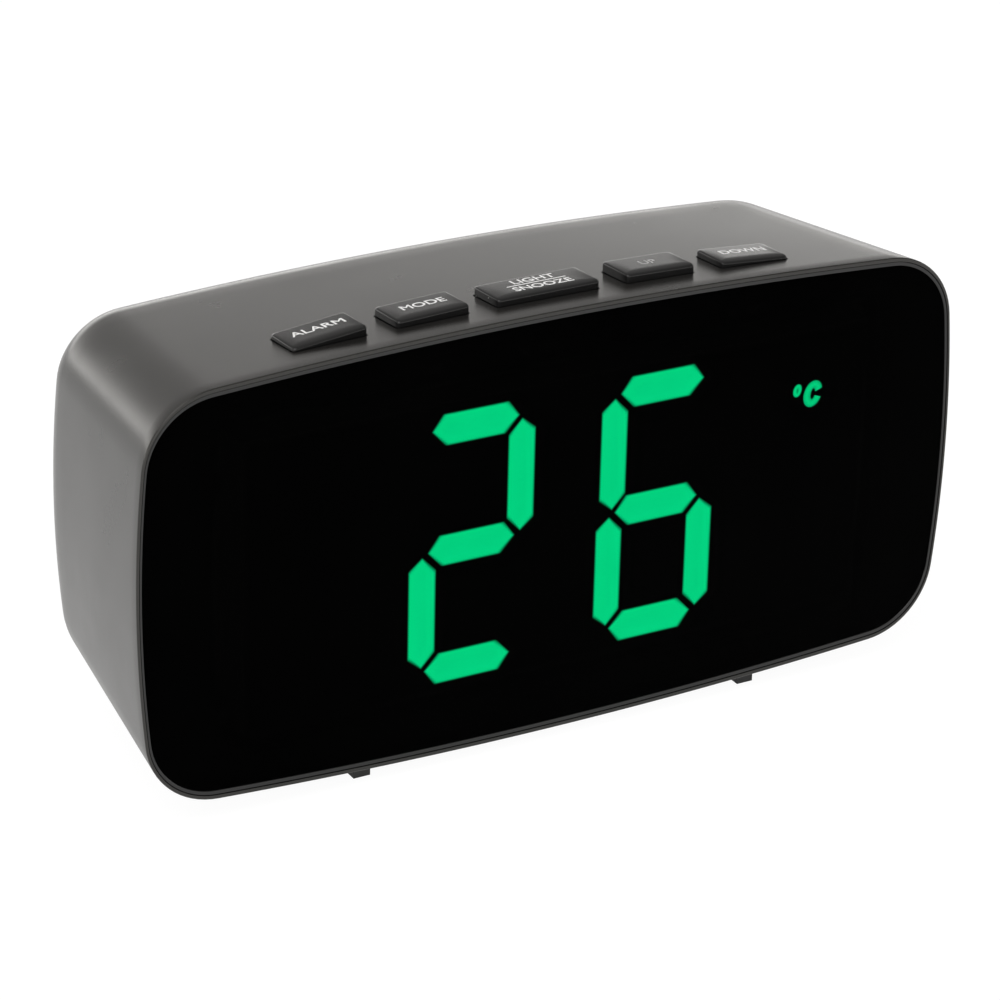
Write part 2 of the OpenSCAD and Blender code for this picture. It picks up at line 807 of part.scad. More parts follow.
module small_components() {
    color("#2a2a2a") for (i = [0 : 4], j = [0 : 1])
        translate([main_x - 14 + 4 * i, y_at(main_y - 0.55), back_z + 4 + 2.6 * j]) cube([2, 0.55, 1.2]);
}

// Connectors on the display, key and main boards, each over one end of a ribbon
display_plug_x = main_x - 10;
key_plug_x = main_x + 3;
plug = [14, 5, 4];
key_plug_w = 9;
display_plug_z = face_z - 2;
main_plug_z = back_z + 10;
key_plug_y = key_board_y + key_board_d - 8;

module board_connectors() {
    color(white) {
        translate([display_plug_x - plug.x / 2, y_at(board_back + 0.02), display_plug_z - plug.z / 2])
            cube(plug);
        translate([display_plug_x - plug.x / 2, y_at(main_y - plug.y), main_plug_z - plug.z / 2])
            cube(plug);
        translate([key_plug_x - key_plug_w / 2, y_at(main_y - plug.y), main_plug_z - plug.z / 2])
            cube([key_plug_w, plug.y, plug.z]);
        translate([key_plug_x - key_plug_w / 2, y_at(key_plug_y), key_top - key_board_t - 3.5])
            cube([key_plug_w, plug.z, 3.5 - 0.02]);
    }
}

function ease(t) = t * t * (3 - 2 * t);

// A flat ribbon that curves between two points of a front to back plane
module ribbon(x, w, from, to, dip, t = 0.8) {
    steps = 16;
    line = [for (i = [0 : steps]) let (s = i / steps)
        [from.x + (to.x - from.x) * s, from.y + (to.y - from.y) * ease(s) - dip * sin(180 * s)]];
    translate([x - w / 2, 0, 0]) rotate([90, 0, 90]) linear_extrude(w)
        polygon(concat([for (p = line) p + [0, t / 2]], [for (p = reversed(line)) p - [0, t / 2]]));
}

module display_ribbon() {
    color("#9aa0a8") ribbon(display_plug_x, plug.x - 2,
        [y_at(board_back + plug.y) + fit, display_plug_z],
        [y_at(main_y - plug.y) - fit, main_plug_z], 3);
}

module key_ribbon() {
    drop = key_top - key_board_t - 3.5 - fit;
    end_y = y_at(main_y - plug.y) - fit;
    start_y = y_at(key_plug_y + plug.z / 2);
    reach = end_y - start_y;
    steps = 14;
    line = [for (i = [0 : steps]) let (a = 90 * i / steps)
        [start_y + reach * (1 - cos(a)), main_plug_z + (drop - main_plug_z) * (1 - sin(a))]];
    side = [for (p = line) p + [0.56, 0.56]];
    other = [for (p = reversed(line)) p];
    color("#9aa0a8") translate([key_plug_x - 3.5, 0, 0]) rotate([90, 0, 90]) linear_extrude(7)
        polygon(concat([[start_y + 0.56, drop]], [for (i = [1 : steps - 1]) side[i]],
            [[end_y, main_plug_z + 0.56]], other));
}

// Two wires from the well's contact tabs to the back of the main board
module battery_wires() {
    for (k = [0, 1]) {
        z = back_z + (k == 0 ? cell_pitch : -cell_pitch);
        start = [well_x - well_w / 2 - 3.2, y_at(well_floor + 4), z];
        stop = [main_x + main_w / 2 - 4, y_at(main_back + 0.05), z + (k == 0 ? -5 : 5)];
        color(k == 0 ? "#a01818" : "#181818")
            wire([for (i = [0 : 10]) let (t = i / 10, u = 1 - t)
                start * u ^ 3 + (start + [-4, 2, 0]) * 3 * t * u ^ 2
                + (stop + [0, 7, 0]) * 3 * t ^ 2 * u + stop * t ^ 3], 0.6);
    }
}

// ---------------------------------------------------------------- batteries

cell_y = well_floor + 0.3 + cell_dia / 2;
nipple_l = 1.2;
contact_t = 0.4;
cell_start = well_x - cell_l / 2;

// Cells lie in turn head to tail: s is the side that a cell's nipple is on
function cell_side(i) = i == 0 ? -1 : 1;

module cell(z, s) {
    translate([well_x, y_at(cell_y), back_z + z]) mirror([s > 0 ? 0 : 1, 0, 0])
        translate([-cell_l / 2, 0, 0]) rotate([0, 90, 0]) {
            cylinder(h = cell_l - nipple_l, r = cell_dia / 2, $fn = 48);
            cylinder(h = cell_l, r = 1.9, $fn = 24);
        }
}

module battery_cells() {
    color("#3f6d4c") for (i = [-1 : 1]) cell(i * cell_pitch, cell_side(i));
}

module flat_contacts() {
    color(steel) for (i = [-1 : 1]) {
        s = cell_side(i);
        x = well_x + s * (well_w / 2 - contact_t / 2 - fit);
        z = back_z + i * cell_pitch;
        translate([x - contact_t / 2, y_at(cell_y - 4), z - 4]) cube([contact_t, 8, 8]);
        // the embossed boss that meets the nipple
        translate([well_x + s * (cell_l / 2 + 0.05), y_at(cell_y), z])
            rotate([0, s * 90, 0])
                cylinder(h = well_w / 2 - cell_l / 2 - contact_t / 2 - 0.1, r = 2.4, $fn = 24);
    }
}

// Coil contacts at the other end of each cell
module spring_contacts() {
    turns = 3;
    steps = 12;
    color(steel) for (i = [-1 : 1]) {
        s = cell_side(i);
        z = back_z + i * cell_pitch;
        gap = (well_w - cell_l) / 2 - fit - contact_t;
        translate([well_x - s * (well_w / 2 - fit), y_at(cell_y), z])
            mirror([s > 0 ? 0 : 1, 0, 0]) {
                translate([0, -4, -4]) cube([contact_t, 8, 8]);
                wire([for (k = [0 : turns * steps]) let (t = k / (turns * steps), a = 360 * turns * t)
                    [contact_t + 0.25 + (gap - 0.65) * t, (3.6 - 1.2 * t) * cos(a),
                     (3.6 - 1.2 * t) * sin(a)]], 0.3, 6);
            }
    }
}

module battery_door() {
    lug = [8, 1.2, 3];
    grip_w = 9;
    color(case_grey) difference() {
        union() {
            face_extrude(body_d - door_t + 0.05, door_t - 0.05)
                translate([well_x, back_z]) polygon(pad_points(door_w, door_h, door_r));
            // lugs that grip the inside of the well's mouth
            for (sx = [-1, 1], sz = [-1, 1])
                translate([well_x + sx * well_w / 3 - lug.x / 2, y_at(body_d - door_t - 1.2),
                           back_z + sz * (well_h / 2 - run) - (sz > 0 ? lug.y : 0)])
                    cube([lug.x, 1.5, lug.y]);
        }
        // grip grooves near the notch
        for (i = [0 : 2])
            face_extrude(body_d - 0.5, 1)
                translate([well_x - door_w / 2 + 5 + 2 * i, back_z]) square([0.9, grip_w], center = true);
    }
}

housing();
front_frame();
front_lens();
foot_rails();
alarm_button();
mode_button();
snooze_button();
up_button();
down_button();
alarm_plunger();
mode_plunger();
snooze_plunger();
up_plunger();
down_plunger();
key_board();
key_switches();
key_board_screws();
light_box();
diffuser_film();
display_board();
segment_leds();
digit_drivers();
display_screws();
main_board();
main_board_screws();
controller_chip();
quartz_crystal();
buzzer();
power_socket();
socket_pin();
thermistor();
capacitors();
small_components();
board_connectors();
display_ribbon();
key_ribbon();
battery_wires();
battery_door();
battery_cells();
spring_contacts();
flat_contacts();
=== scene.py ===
"""Alarm clock: the visible pieces and finishes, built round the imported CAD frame.

Lengths below are in millimetres and are turned into metres when a mesh is made. The clock
stands on z = 0 and faces -Y. A depth is measured from the plane of its front, towards the back.
"""
import math

import bmesh
import bpy
from mathutils import Matrix, Vector


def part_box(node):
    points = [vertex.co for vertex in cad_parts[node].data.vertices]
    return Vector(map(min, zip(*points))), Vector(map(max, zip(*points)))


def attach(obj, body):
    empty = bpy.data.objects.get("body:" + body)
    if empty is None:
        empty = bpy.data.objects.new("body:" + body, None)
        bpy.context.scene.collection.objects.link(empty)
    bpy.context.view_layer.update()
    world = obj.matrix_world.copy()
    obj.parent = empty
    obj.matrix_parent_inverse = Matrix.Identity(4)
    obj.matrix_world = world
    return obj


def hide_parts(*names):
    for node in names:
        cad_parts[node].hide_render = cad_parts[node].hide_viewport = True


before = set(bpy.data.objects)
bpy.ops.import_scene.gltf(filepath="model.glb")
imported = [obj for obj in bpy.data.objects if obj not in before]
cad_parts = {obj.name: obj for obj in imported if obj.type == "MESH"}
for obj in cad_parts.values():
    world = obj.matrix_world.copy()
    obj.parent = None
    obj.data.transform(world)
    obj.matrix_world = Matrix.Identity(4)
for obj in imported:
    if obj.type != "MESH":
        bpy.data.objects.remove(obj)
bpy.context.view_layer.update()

MM = 0.001


def box_mm(node):
    """Lowest and highest corner of a CAD node in millimetres."""
    low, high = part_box(node)
    return low / MM, high / MM


# ------------------------------------------------------------------ sizes taken from the frame

CASE_LOW, CASE_HIGH = box_mm("housing")
HALF_W = CASE_HIGH.x
HALF_H = (CASE_HIGH.z - CASE_LOW.z) / 2
MID_Z = (CASE_HIGH.z + CASE_LOW.z) / 2
BODY_D = CASE_HIGH.y - CASE_LOW.y
FRONT_Y = CASE_LOW.y

LENS_FRONT = box_mm("front_lens")[0].y - FRONT_Y
LENS_BACK = box_mm("front_lens")[1].y - FRONT_Y
FILM_LOW, FILM_HIGH = box_mm("diffuser_film")
DOOR_LOW, DOOR_HIGH = box_mm("battery_door")
BOARD_TOP = box_mm("key_board")[1].z
RAIL_LOW, RAIL_HIGH = box_mm("foot_rails")

# ------------------------------------------------------------------ sizes of the shapes

WALL = 2.2
SIDE_BOW_R = 243
TOP_BOW_R = 1016
CORNER_R = 14
REAR_R = 13.2
TAPER_SIDE = 0.127
TAPER_TOP = 0.084
TAPER_BOTTOM = 0.094

LIP = (0.5, 0.75)          # width of the case's lip at the sides, and at the top and bottom
RIM = (1.1, 1.6)           # from the outline to the lens, in the same two directions
FLANGE = (13, 4.4)         # how far the frame reaches in behind the lens
LIP_ROUND = 0.28
REBATE_D = 5.0
FRAME_D = 4.9
FRAME_ROUND = 0.14
FIT = 0.08
RUN = 0.15

KEY_XS = (-41.3, -22.1, 0, 22.1, 41.3)
KEY_LS = (13.6, 13.6, 19.8, 13.6, 13.6)
KEY_RISES = (1.4, 1.67, 1.72, 1.82, 1.08)       # each loose key sits at its own height
KEY_FALLS = (0.075, 0.025, 0.01, -0.005, -0.037)   # and tilt, in mm per mm to the right
KEY_NAMES = ("alarm", "mode", "snooze", "up", "down")
KEY_W = 8.5
KEY_MID = 11.25
KEY_R = 0.6
KEY_ROUND = 0.35
KEY_ROLL = 0.4     # how far the front of a key's top rolls down
KEY_ROLL_L = 1.9   # and over what length
KEY_GAP = 0.25
KEY_LAP = 1
KEY_FLANGE_T = 1
KEY_STEM_R = 1.7
BOLDER = 0.04      # how far the printed strokes are widened on each side

DIGIT_XS = (-46.05, -16.75, 19.95, 49.25)
DIGIT_H = 44.3
DIGIT_W = 18.4
BAR_H = 5.65
BAR_W = 5.1
FACE_Z = MID_Z - 1.5
SLANT = 0.021
COLON = (1.6, 8.5, 2.3)    # x, distance above and below the middle, radius
DEGREE = {"x": 48.45, "z": 55.9, "radii": (0.48, 0.8), "width": 0.85, "start": 0, "end": 342,
          "lean": 0.1}
LETTER_C = {"x": 51.75, "z": 54.75, "radii": (1.2, 1.75), "width": 1.5, "start": 20, "end": 340,
            "lean": 0.12}

WELL_X = 20
BACK_Z = 41.79
WELL_W = 52
WELL_H = 34.9
WELL_DEEP = 11.3
WELL_WALL = 1.8
DOOR_T = 1.8
RAIL_W = 3.2
DOOR_R = 2.8
DOOR_SOFT = 0.35
MAIN_X = -33.5

BOSS_R = 2.7
BOSS_SINK = 1.1            # how far short of the wall's outer face a boss ends
MAIN_BOSS_AT = (20.1, 15.3)    # from the main board's middle, across and up
MAIN_BOSS_FRONT = 42.7
KEY_BOSSES = ((53.5, 16.27), (20.1, 21.1))      # x and depth of each pair
WINDOW_SPAN = (6, 26)      # heights above the key board that a window's cut runs through

SLOTS_AT = (9, 6.5)        # middle of the sound slots, from the main board's middle
SLOT_STEP = 2.2
SLOT_SIZE = (1, 9, 0.49)   # width, height and corner radius of the middle one
SLOT_DROP = 1.4            # how much shorter each one is than its inner neighbour
VENTS_AT = (3, -12)
VENT_STEP = 2
VENT_SIZE = (0.9, 4, 0.44)
INLET_AT = (-10, -8)
INLET_R = 3.6
NOTCH_R = 4
NOTCH_D = 1.2

POST_X = 67.7              # the frame's posts, from the colon's middle
POST_R = 3
POST_END = 9.59
PILOT_R = 1.1
HOOK_X = 59
HOOK_REACH = 9.5
HOOK_GAP = 0.25            # between a hook and the wall that it snaps into

LUG_SIZE = (8, 1.2)        # the door's lugs
LUG_D = 1.25
GRIPS = (5, 2)             # first grip groove, in from the door's edge, and their step
GRIP_SIZE = (0.9, 9, 0.44)
GRIP_D = 0.5
SLEEVE_HALF = 20.5         # half the length of a cell's sleeve

SEGMENTS = 48


# ------------------------------------------------------------------ shape of the bowed case

def corner_centre(a, b, side_r, top_r, r):
    """Centre of the corner circle that touches the side bow and the top bow."""
    p = Vector((a - side_r, 0))
    q = Vector((0, b - top_r))
    d = (q - p).length
    along = (q - p) / d
    s = ((side_r - r) ** 2 - (top_r - r) ** 2 + d ** 2) / (2 * d)
    h = math.sqrt((side_r - r) ** 2 - s ** 2)
    return p + along * s + Vector((-along.y, along.x)) * h


def quarter(inset, steps=(10, 16, 22)):
    """One quarter of the outline, from the side's middle to the top's middle."""
    ix, iz = inset
    a, b = HALF_W - ix, HALF_H - iz
    side_r, top_r = SIDE_BOW_R - ix, TOP_BOW_R - iz
    r = max(CORNER_R - (ix + iz) / 2, 1)
    c = corner_centre(a, b, side_r, top_r, r)
    side_end = math.atan2(c.y, c.x - a + side_r)
    top_end = math.atan2(c.y - b + top_r, c.x)
    arcs = (
        (a - side_r, 0, side_r, 0, side_end),
        (c.x, c.y, r, side_end, top_end),
        (0, b - top_r, top_r, top_end, math.pi / 2),
    )
    points = []
    for (x, y, radius, start, end), count in zip(arcs, steps):
        for i in range(count):
            t = start + (end - start) * i / count
            points.append((x + radius * math.cos(t), y + radius * math.sin(t)))
    points.append((0, b))
    return points


def outline(inset):
    """The whole outline, as points round the middle of the face."""
    q = quarter(inset)
    there, back = q[:-1], q[:0:-1]
    return (
        there
        + [(-x, z) for x, z in back]
        + [(-x, -z) for x, z in there]
        + [(x, -z) for x, z in back]
    )


def ring(depth, inset=(0, 0), drawn_in=0.0):
    """The outline at a depth, tapered with the case."""
    a, b = HALF_W - inset[0], HALF_H - inset[1]
    across = (a - TAPER_SIDE * depth - drawn_in) / a
    up = (b - TAPER_TOP * depth - drawn_in) / b
    down = (b - TAPER_BOTTOM * depth - drawn_in) / b
    return [
        Vector((x * across, FRONT_Y + depth, MID_Z + z * (up if z > 0 else down)))
        for x, z in outline(inset)
    ]


def rounding(r, steps):
    """Steps round an edge: how far each is drawn in from the side, and how short of the end."""
    turns = [math.pi / 2 * i / steps for i in range(steps + 1)]
    return [(r * (1 - math.cos(t)), r * (1 - math.sin(t))) for t in turns]


def rear_rings(back, r, steps, inset=(0, 0)):
    """Rings of the rounded rear edge of a skin that ends at a depth."""
    return [ring(back - short, inset, drawn) for drawn, short in rounding(r, steps)]


def bow_z(x):
    return HALF_H - TOP_BOW_R + math.sqrt(TOP_BOW_R ** 2 - x ** 2)


def top_z(x, depth):
    """Height of the case's outer top surface."""
    return MID_Z + bow_z(x) * (HALF_H - TAPER_TOP * depth) / HALF_H


def under_z(x, depth):
    """Height of the case's outer bottom surface."""
    return MID_Z - bow_z(x) * (HALF_H - TAPER_BOTTOM * depth) / HALF_H


# ------------------------------------------------------------------ mesh tools

def pad_points(length, width, r, steps=6):
    """A rounded rectangle round the origin."""
    points = []
    for k, (sx, sy) in enumerate(((1, 1), (-1, 1), (-1, -1), (1, -1))):
        for i in range(steps + 1):
            t = math.radians(90 * k + 90 * i / steps)
            points.append((
                sx * (length / 2 - r) + r * math.cos(t),
                sy * (width / 2 - r) + r * math.sin(t),
            ))
    return points


def circle_points(r, count=SEGMENTS):
    return [
        (r * math.cos(2 * math.pi * i / count), r * math.sin(2 * math.pi * i / count))
        for i in range(count)
    ]


def show(name, data):
    """An object for a mesh or other data, in the scene."""
    made = bpy.data.objects.new(name, data)
    bpy.context.scene.collection.objects.link(made)
    return made


def build(name, points, faces):
    """An object from points in millimetres, with its faces turned outwards."""
    mesh = bpy.data.meshes.new(name)
    mesh.from_pydata([Vector(p) * MM for p in points], [], faces)
    shape = bmesh.new()
    shape.from_mesh(mesh)
    bmesh.ops.remove_doubles(shape, verts=shape.verts, dist=1e-8)
    bmesh.ops.recalc_face_normals(shape, faces=shape.faces)
    shape.to_mesh(mesh)
    shape.free()
    return show(name, mesh)


def skin(name, rings, closed=False):
    """A skin through rings with equal numbers of points, with flat ends or closed on itself."""
    n, m = len(rings[0]), len(rings)
    faces = []
    for j in range(m if closed else m - 1):
        a, b = j * n, (j + 1) % m * n
        for i in range(n):
            k = (i + 1) % n
            faces.append((a + i, a + k, b + k, b + i))
    if not closed:
        faces.append(tuple(range(n)))
        faces.append(tuple(range((m - 1) * n, m * n)))
    return build(name, [p for r in rings for p in r], faces)


def upright(outline_points, x, z, start, end):
    """Rings of a flat drawing that stands up in the face's plane, from one depth to another."""
    return [
        [Vector((x + px, FRONT_Y + depth, z + pz)) for px, pz in outline_points]
        for depth in (start, end)
    ]


def block(name, x, z, start, end, width, height, r=0.0):
    """A rounded block that runs front to back."""
    points = pad_points(width, height, r) if r else [
        (width / 2, height / 2), (-width / 2, height / 2),
        (-width / 2, -height / 2), (width / 2, -height / 2),
    ]
    return skin(name, upright(points, x, z, start, end))


def rod(name, x, z, start, end, r):
    """A cylinder that runs front to back."""
    return skin(name, upright(circle_points(r), x, z, start, end))


def post(name, x, depth, low, high, r):
    """A cylinder that stands up."""
    rings = [
        [Vector((x + px, FRONT_Y + depth + py, z)) for px, py in circle_points(r)]
        for z in (low, high)
    ]
    return skin(name, rings)


def settle(made):
    """Replaces an object's mesh by what its modifiers make of it."""
    view = bpy.context.evaluated_depsgraph_get()
    mesh = bpy.data.meshes.new_from_object(made.evaluated_get(view))
    made.modifiers.clear()
    made.data = mesh


def carve(body, tools, operation="DIFFERENCE"):
    """Cuts each tool out of a body, or joins it on, and drops the tools."""
    for tool in tools:
        step = body.modifiers.new("carve", "BOOLEAN")
        step.operation = operation
        step.solver = "EXACT"
        step.object = tool
    settle(body)
    for tool in tools:
        bpy.data.objects.remove(tool)
    return body


def shade(made, angle=32):
    made.data.shade_smooth()
    made.data.set_sharp_from_angle(angle=math.radians(angle))


def soften(made, width, angle=35, steps=2):
    """Rounds the sharp edges of a piece a little, as moulded and pressed edges are."""
    bevel = made.modifiers.new("soften", "BEVEL")
    bevel.width = width * MM
    bevel.segments = steps
    bevel.limit_method = "ANGLE"
    bevel.angle_limit = math.radians(angle)
    bevel.harden_normals = False


def place(made, body, slot, look, *nodes):
    """Gives a piece its finish and its body, and hides the CAD nodes that it stands for."""
    made.data.materials.clear()
    made.data.materials.append(look)
    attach(made, body)
    if nodes:
        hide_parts(*nodes)
    return made


# ------------------------------------------------------------------ effects shared by finishes

NUMBER = "NodeSocketFloat"


def effect(name, inputs, outputs):
    """An empty node group with named sockets."""
    tree = bpy.data.node_groups.new(name, "ShaderNodeTree")
    for label, kind, value in inputs:
        socket = tree.interface.new_socket(name=label, in_out="INPUT", socket_type=kind)
        socket.default_value = value
    for label, kind in outputs:
        tree.interface.new_socket(name=label, in_out="OUTPUT", socket_type=kind)
    return tree, tree.nodes.new("NodeGroupInput"), tree.nodes.new("NodeGroupOutput")


def add(tree, kind, **settings):
    node = tree.nodes.new("ShaderNode" + kind)
    for key, value in settings.items():
        setattr(node, key, value)
    return node


def spread(tree, value, low, high, to_low=0.0, to_high=1.0):
    """Maps a number from one range to another."""
    node = add(tree, "MapRange")
    for socket, number in zip(node.inputs[1:5], (low, high, to_low, to_high)):
        socket.default_value = number
    tree.links.new(value, node.inputs["Value"])
    return node.outputs["Result"]


def maths(tree, operation, a, b):
    node = add(tree, "Math", operation=operation)
    for socket, value in zip(node.inputs, (a, b)):
        if isinstance(value, (int, float)):
            socket.default_value = value
        else:
            tree.links.new(value, socket)
    return node.outputs[0]


def blend_colours(tree, mask, a, b):
    """Mixes two colours, each a socket or a plain triple, by a mask."""
    node = add(tree, "Mix", data_type="RGBA")
    for socket, value in ((node.inputs[6], a), (node.inputs[7], b)):
        if isinstance(value, tuple):
            socket.default_value = (*value, 1)
        else:
            tree.links.new(value, socket)
    tree.links.new(mask, node.inputs["Factor"])
    return node.outputs[2]


def object_place(tree):
    return add(tree, "TexCoord").outputs["Object"]


def noise_at(tree, place_socket, scale, detail=3.0, roughness=0.55):
    """Noise whose scale is a number or a group's input."""
    node = add(tree, "TexNoise")
    node.inputs["Detail"].default_value = detail
    node.inputs["Roughness"].default_value = roughness
    tree.links.new(place_socket, node.inputs["Vector"])
    if isinstance(scale, (int, float)):
        node.inputs["Scale"].default_value = scale
    else:
        tree.links.new(scale, node.inputs["Scale"])
    return node.outputs["Fac"]


def grain_effect():
    """Fine moulded grain: a height for bump, and slow blotches for tone and gloss."""
    tree, given, result = effect(
        "moulded_grain",
        [("Grains", NUMBER, 4000.0), ("Blotches", NUMBER, 60.0)],
        [("Height", NUMBER), ("Blotch", NUMBER)],
    )
    where = object_place(tree)
    fine = noise_at(tree, where, given.outputs["Grains"], 2.0)
    slow = noise_at(tree, where, given.outputs["Blotches"], 4.0)
    tree.links.new(fine, result.inputs["Height"])
    tree.links.new(spread(tree, slow, 0.3, 0.7), result.inputs["Blotch"])
    return tree


def dust_effect():
    """Scattered pale specks: a mask that is 1 on a speck."""
    tree, given, result = effect(
        "dust_specks",
        [("Specks", NUMBER, 300.0), ("Size", NUMBER, 0.03), ("Share", NUMBER, 0.06)],
        [("Mask", NUMBER)],
    )
    where = object_place(tree)
    cells = add(tree, "TexVoronoi")
    tree.links.new(where, cells.inputs["Vector"])
    tree.links.new(given.outputs["Specks"], cells.inputs["Scale"])
    near = maths(tree, "LESS_THAN", cells.outputs["Distance"], given.outputs["Size"])
    pick = add(tree, "SeparateColor")
    tree.links.new(cells.outputs["Color"], pick.inputs[0])
    chosen = maths(tree, "LESS_THAN", pick.outputs[0], given.outputs["Share"])
    tree.links.new(maths(tree, "MULTIPLY", near, chosen), result.inputs["Mask"])
    return tree


def edge_wear_and_glint_effect():
    """Rubbed edges with a painted highlight: a mask that is 1 where the surface turns sharply."""
    tree, given, result = effect(
        "edge_wear_and_glint",
        [("Radius", NUMBER, 0.00025), ("Blotches", NUMBER, 700.0)],
        [("Mask", NUMBER)],
    )
    rounded = add(tree, "Bevel", samples=4)
    tree.links.new(given.outputs["Radius"], rounded.inputs["Radius"])
    true = add(tree, "NewGeometry").outputs["Normal"]
    dot = add(tree, "VectorMath", operation="DOT_PRODUCT")
    tree.links.new(rounded.outputs[0], dot.inputs[0])
    tree.links.new(true, dot.inputs[1])
    turned = spread(tree, dot.outputs["Value"], 0.995, 0.85)
    where = object_place(tree)
    patchy = spread(tree, noise_at(tree, where, given.outputs["Blotches"]), 0.35, 0.65, 0.4, 1.0)
    tree.links.new(maths(tree, "MULTIPLY", turned, patchy), result.inputs["Mask"])
    return tree


EFFECTS = {made.name: made for made in (grain_effect(), dust_effect(), edge_wear_and_glint_effect())}


def use(tree, name, **values):
    """Places one of the shared effects in a material with its own values."""
    node = add(tree, "Group")
    node.node_tree = EFFECTS[name]
    for label, value in values.items():
        node.inputs[label].default_value = value
    return node


# ------------------------------------------------------------------ finishes

def new_look(name, **settings):
    """A material with one shader, whose plain settings are given by name."""
    look = bpy.data.materials.new(name)
    look.use_nodes = True
    tree = look.node_tree
    tree.nodes.clear()
    shader = add(tree, "BsdfPrincipled")
    end = add(tree, "OutputMaterial")
    tree.links.new(shader.outputs[0], end.inputs["Surface"])
    for label, value in settings.items():
        shader.inputs[label.replace("_", " ")].default_value = value
    return look, tree, shader


def roughen(tree, shader, height, depth):
    """Feeds a height into the shader's normal, with the depth of its relief in millimetres."""
    bump = add(tree, "Bump")
    bump.inputs["Distance"].default_value = depth * MM
    tree.links.new(height, bump.inputs["Height"])
    tree.links.new(bump.outputs[0], shader.inputs["Normal"])


def plastic(name, dark, light, rough, grains=4000.0, relief=0.01, dust=0.0, wear_and_glint_amount=0.0, **more):
    """Moulded plastic: blotched tone and gloss, fine grain, and if asked dust and pale edges that
    are partly rubbed wear and partly a painted highlight.
    """
    look, tree, shader = new_look(name, **more)
    grain = use(tree, "moulded_grain", Grains=grains)
    colour = blend_colours(tree, grain.outputs["Blotch"], dark, light)
    gloss = spread(tree, grain.outputs["Blotch"], 0, 1, rough - 0.03, rough + 0.03)
    if wear_and_glint_amount:
        edges = use(tree, "edge_wear_and_glint")
        wear_and_glint_mask = maths(tree, "MULTIPLY", edges.outputs["Mask"], wear_and_glint_amount)
        # pale edges: partly rubbed wear, partly a painted highlight that stands in for glints on
        # the edges
        pale = tuple(min(c * 2.5 + 0.02, 1) for c in light)
        colour = blend_colours(tree, wear_and_glint_mask, colour, pale)
        gloss = maths(tree, "SUBTRACT", gloss, maths(tree, "MULTIPLY", wear_and_glint_mask, 0.1))
    if dust:
        specks = use(tree, "dust_specks", Share=dust)
        colour = blend_colours(tree, specks.outputs["Mask"], colour, (0.75, 0.75, 0.72))
    tree.links.new(colour, shader.inputs["Base Color"])
    tree.links.new(gloss, shader.inputs["Roughness"])
    roughen(tree, shader, grain.outputs["Height"], relief)
    return look


def coat(tree, shader, colour, mask, rough_low, rough_high):
    """Gives a shader its colour, and a gloss that follows a mask."""
    tree.links.new(colour, shader.inputs["Base Color"])
    gloss = spread(tree, mask, 0, 1, rough_low, rough_high)
    tree.links.new(gloss, shader.inputs["Roughness"])


def metal(name, dark, light, rough):
    """Plated or pressed metal with fine brushing."""
    look, tree, shader = new_look(name, Metallic=1.0)
    grain = use(tree, "moulded_grain", Grains=6000.0, Blotches=400.0)
    colour = blend_colours(tree, grain.outputs["Blotch"], dark, light)
    coat(tree, shader, colour, grain.outputs["Blotch"], rough - 0.06, rough + 0.08)
    roughen(tree, shader, grain.outputs["Height"], 0.004)
    return look


def lens_look():
    """Tinted acrylic: nearly black, polished, with the faintest haze."""
    look, tree, shader = new_look("lens_acrylic", Alpha=0.86, IOR=1.49)
    shader.inputs["Specular IOR Level"].default_value = 0.006
    grain = use(tree, "moulded_grain", Grains=300.0, Blotches=25.0)
    colour = blend_colours(tree, grain.outputs["Blotch"], (0.0002,) * 3, (0.0005,) * 3)
    coat(tree, shader, colour, grain.outputs["Blotch"], 0.04, 0.09)
    return look


def lit_look():
    """A lit bar: green light that fades at the bar's edge."""
    look, tree, shader = new_look("lit_bar", Roughness=0.6)
    shader.inputs["Base Color"].default_value = (0.0, 0.02, 0.006, 1)
    shader.inputs["Specular IOR Level"].default_value = 0.0
    shader.inputs["Emission Strength"].default_value = 51.0
    share = add(tree, "Attribute", attribute_name="light").outputs["Fac"]
    where = object_place(tree)
    mottle = spread(tree, noise_at(tree, where, 160.0), 0.3, 0.7, 0.96, 1.0)
    strength = maths(tree, "MULTIPLY", share, mottle)
    glow = blend_colours(tree, strength, (0.0, 0.0, 0.0), (0.0004, 0.651, 0.216))
    tree.links.new(glow, shader.inputs["Emission Color"])
    return look


def board_look():
    """Green solder mask with slightly raised copper tracks under it."""
    look, tree, shader = new_look("circuit_board", Roughness=0.35)
    where = object_place(tree)
    tracks = add(tree, "TexWave", wave_type="BANDS", bands_direction="DIAGONAL")
    tracks.inputs["Scale"].default_value = 180.0
    tracks.inputs["Distortion"].default_value = 2.0
    tree.links.new(where, tracks.inputs["Vector"])
    lines = spread(tree, tracks.outputs["Fac"], 0.75, 0.85)
    patches = spread(tree, noise_at(tree, where, 90.0, 0.0), 0.48, 0.52)
    mask = maths(tree, "MULTIPLY", lines, patches)
    colour = blend_colours(tree, mask, (0.012, 0.11, 0.035), (0.03, 0.22, 0.08))
    tree.links.new(colour, shader.inputs["Base Color"])
    roughen(tree, shader, mask, 0.03)
    return look


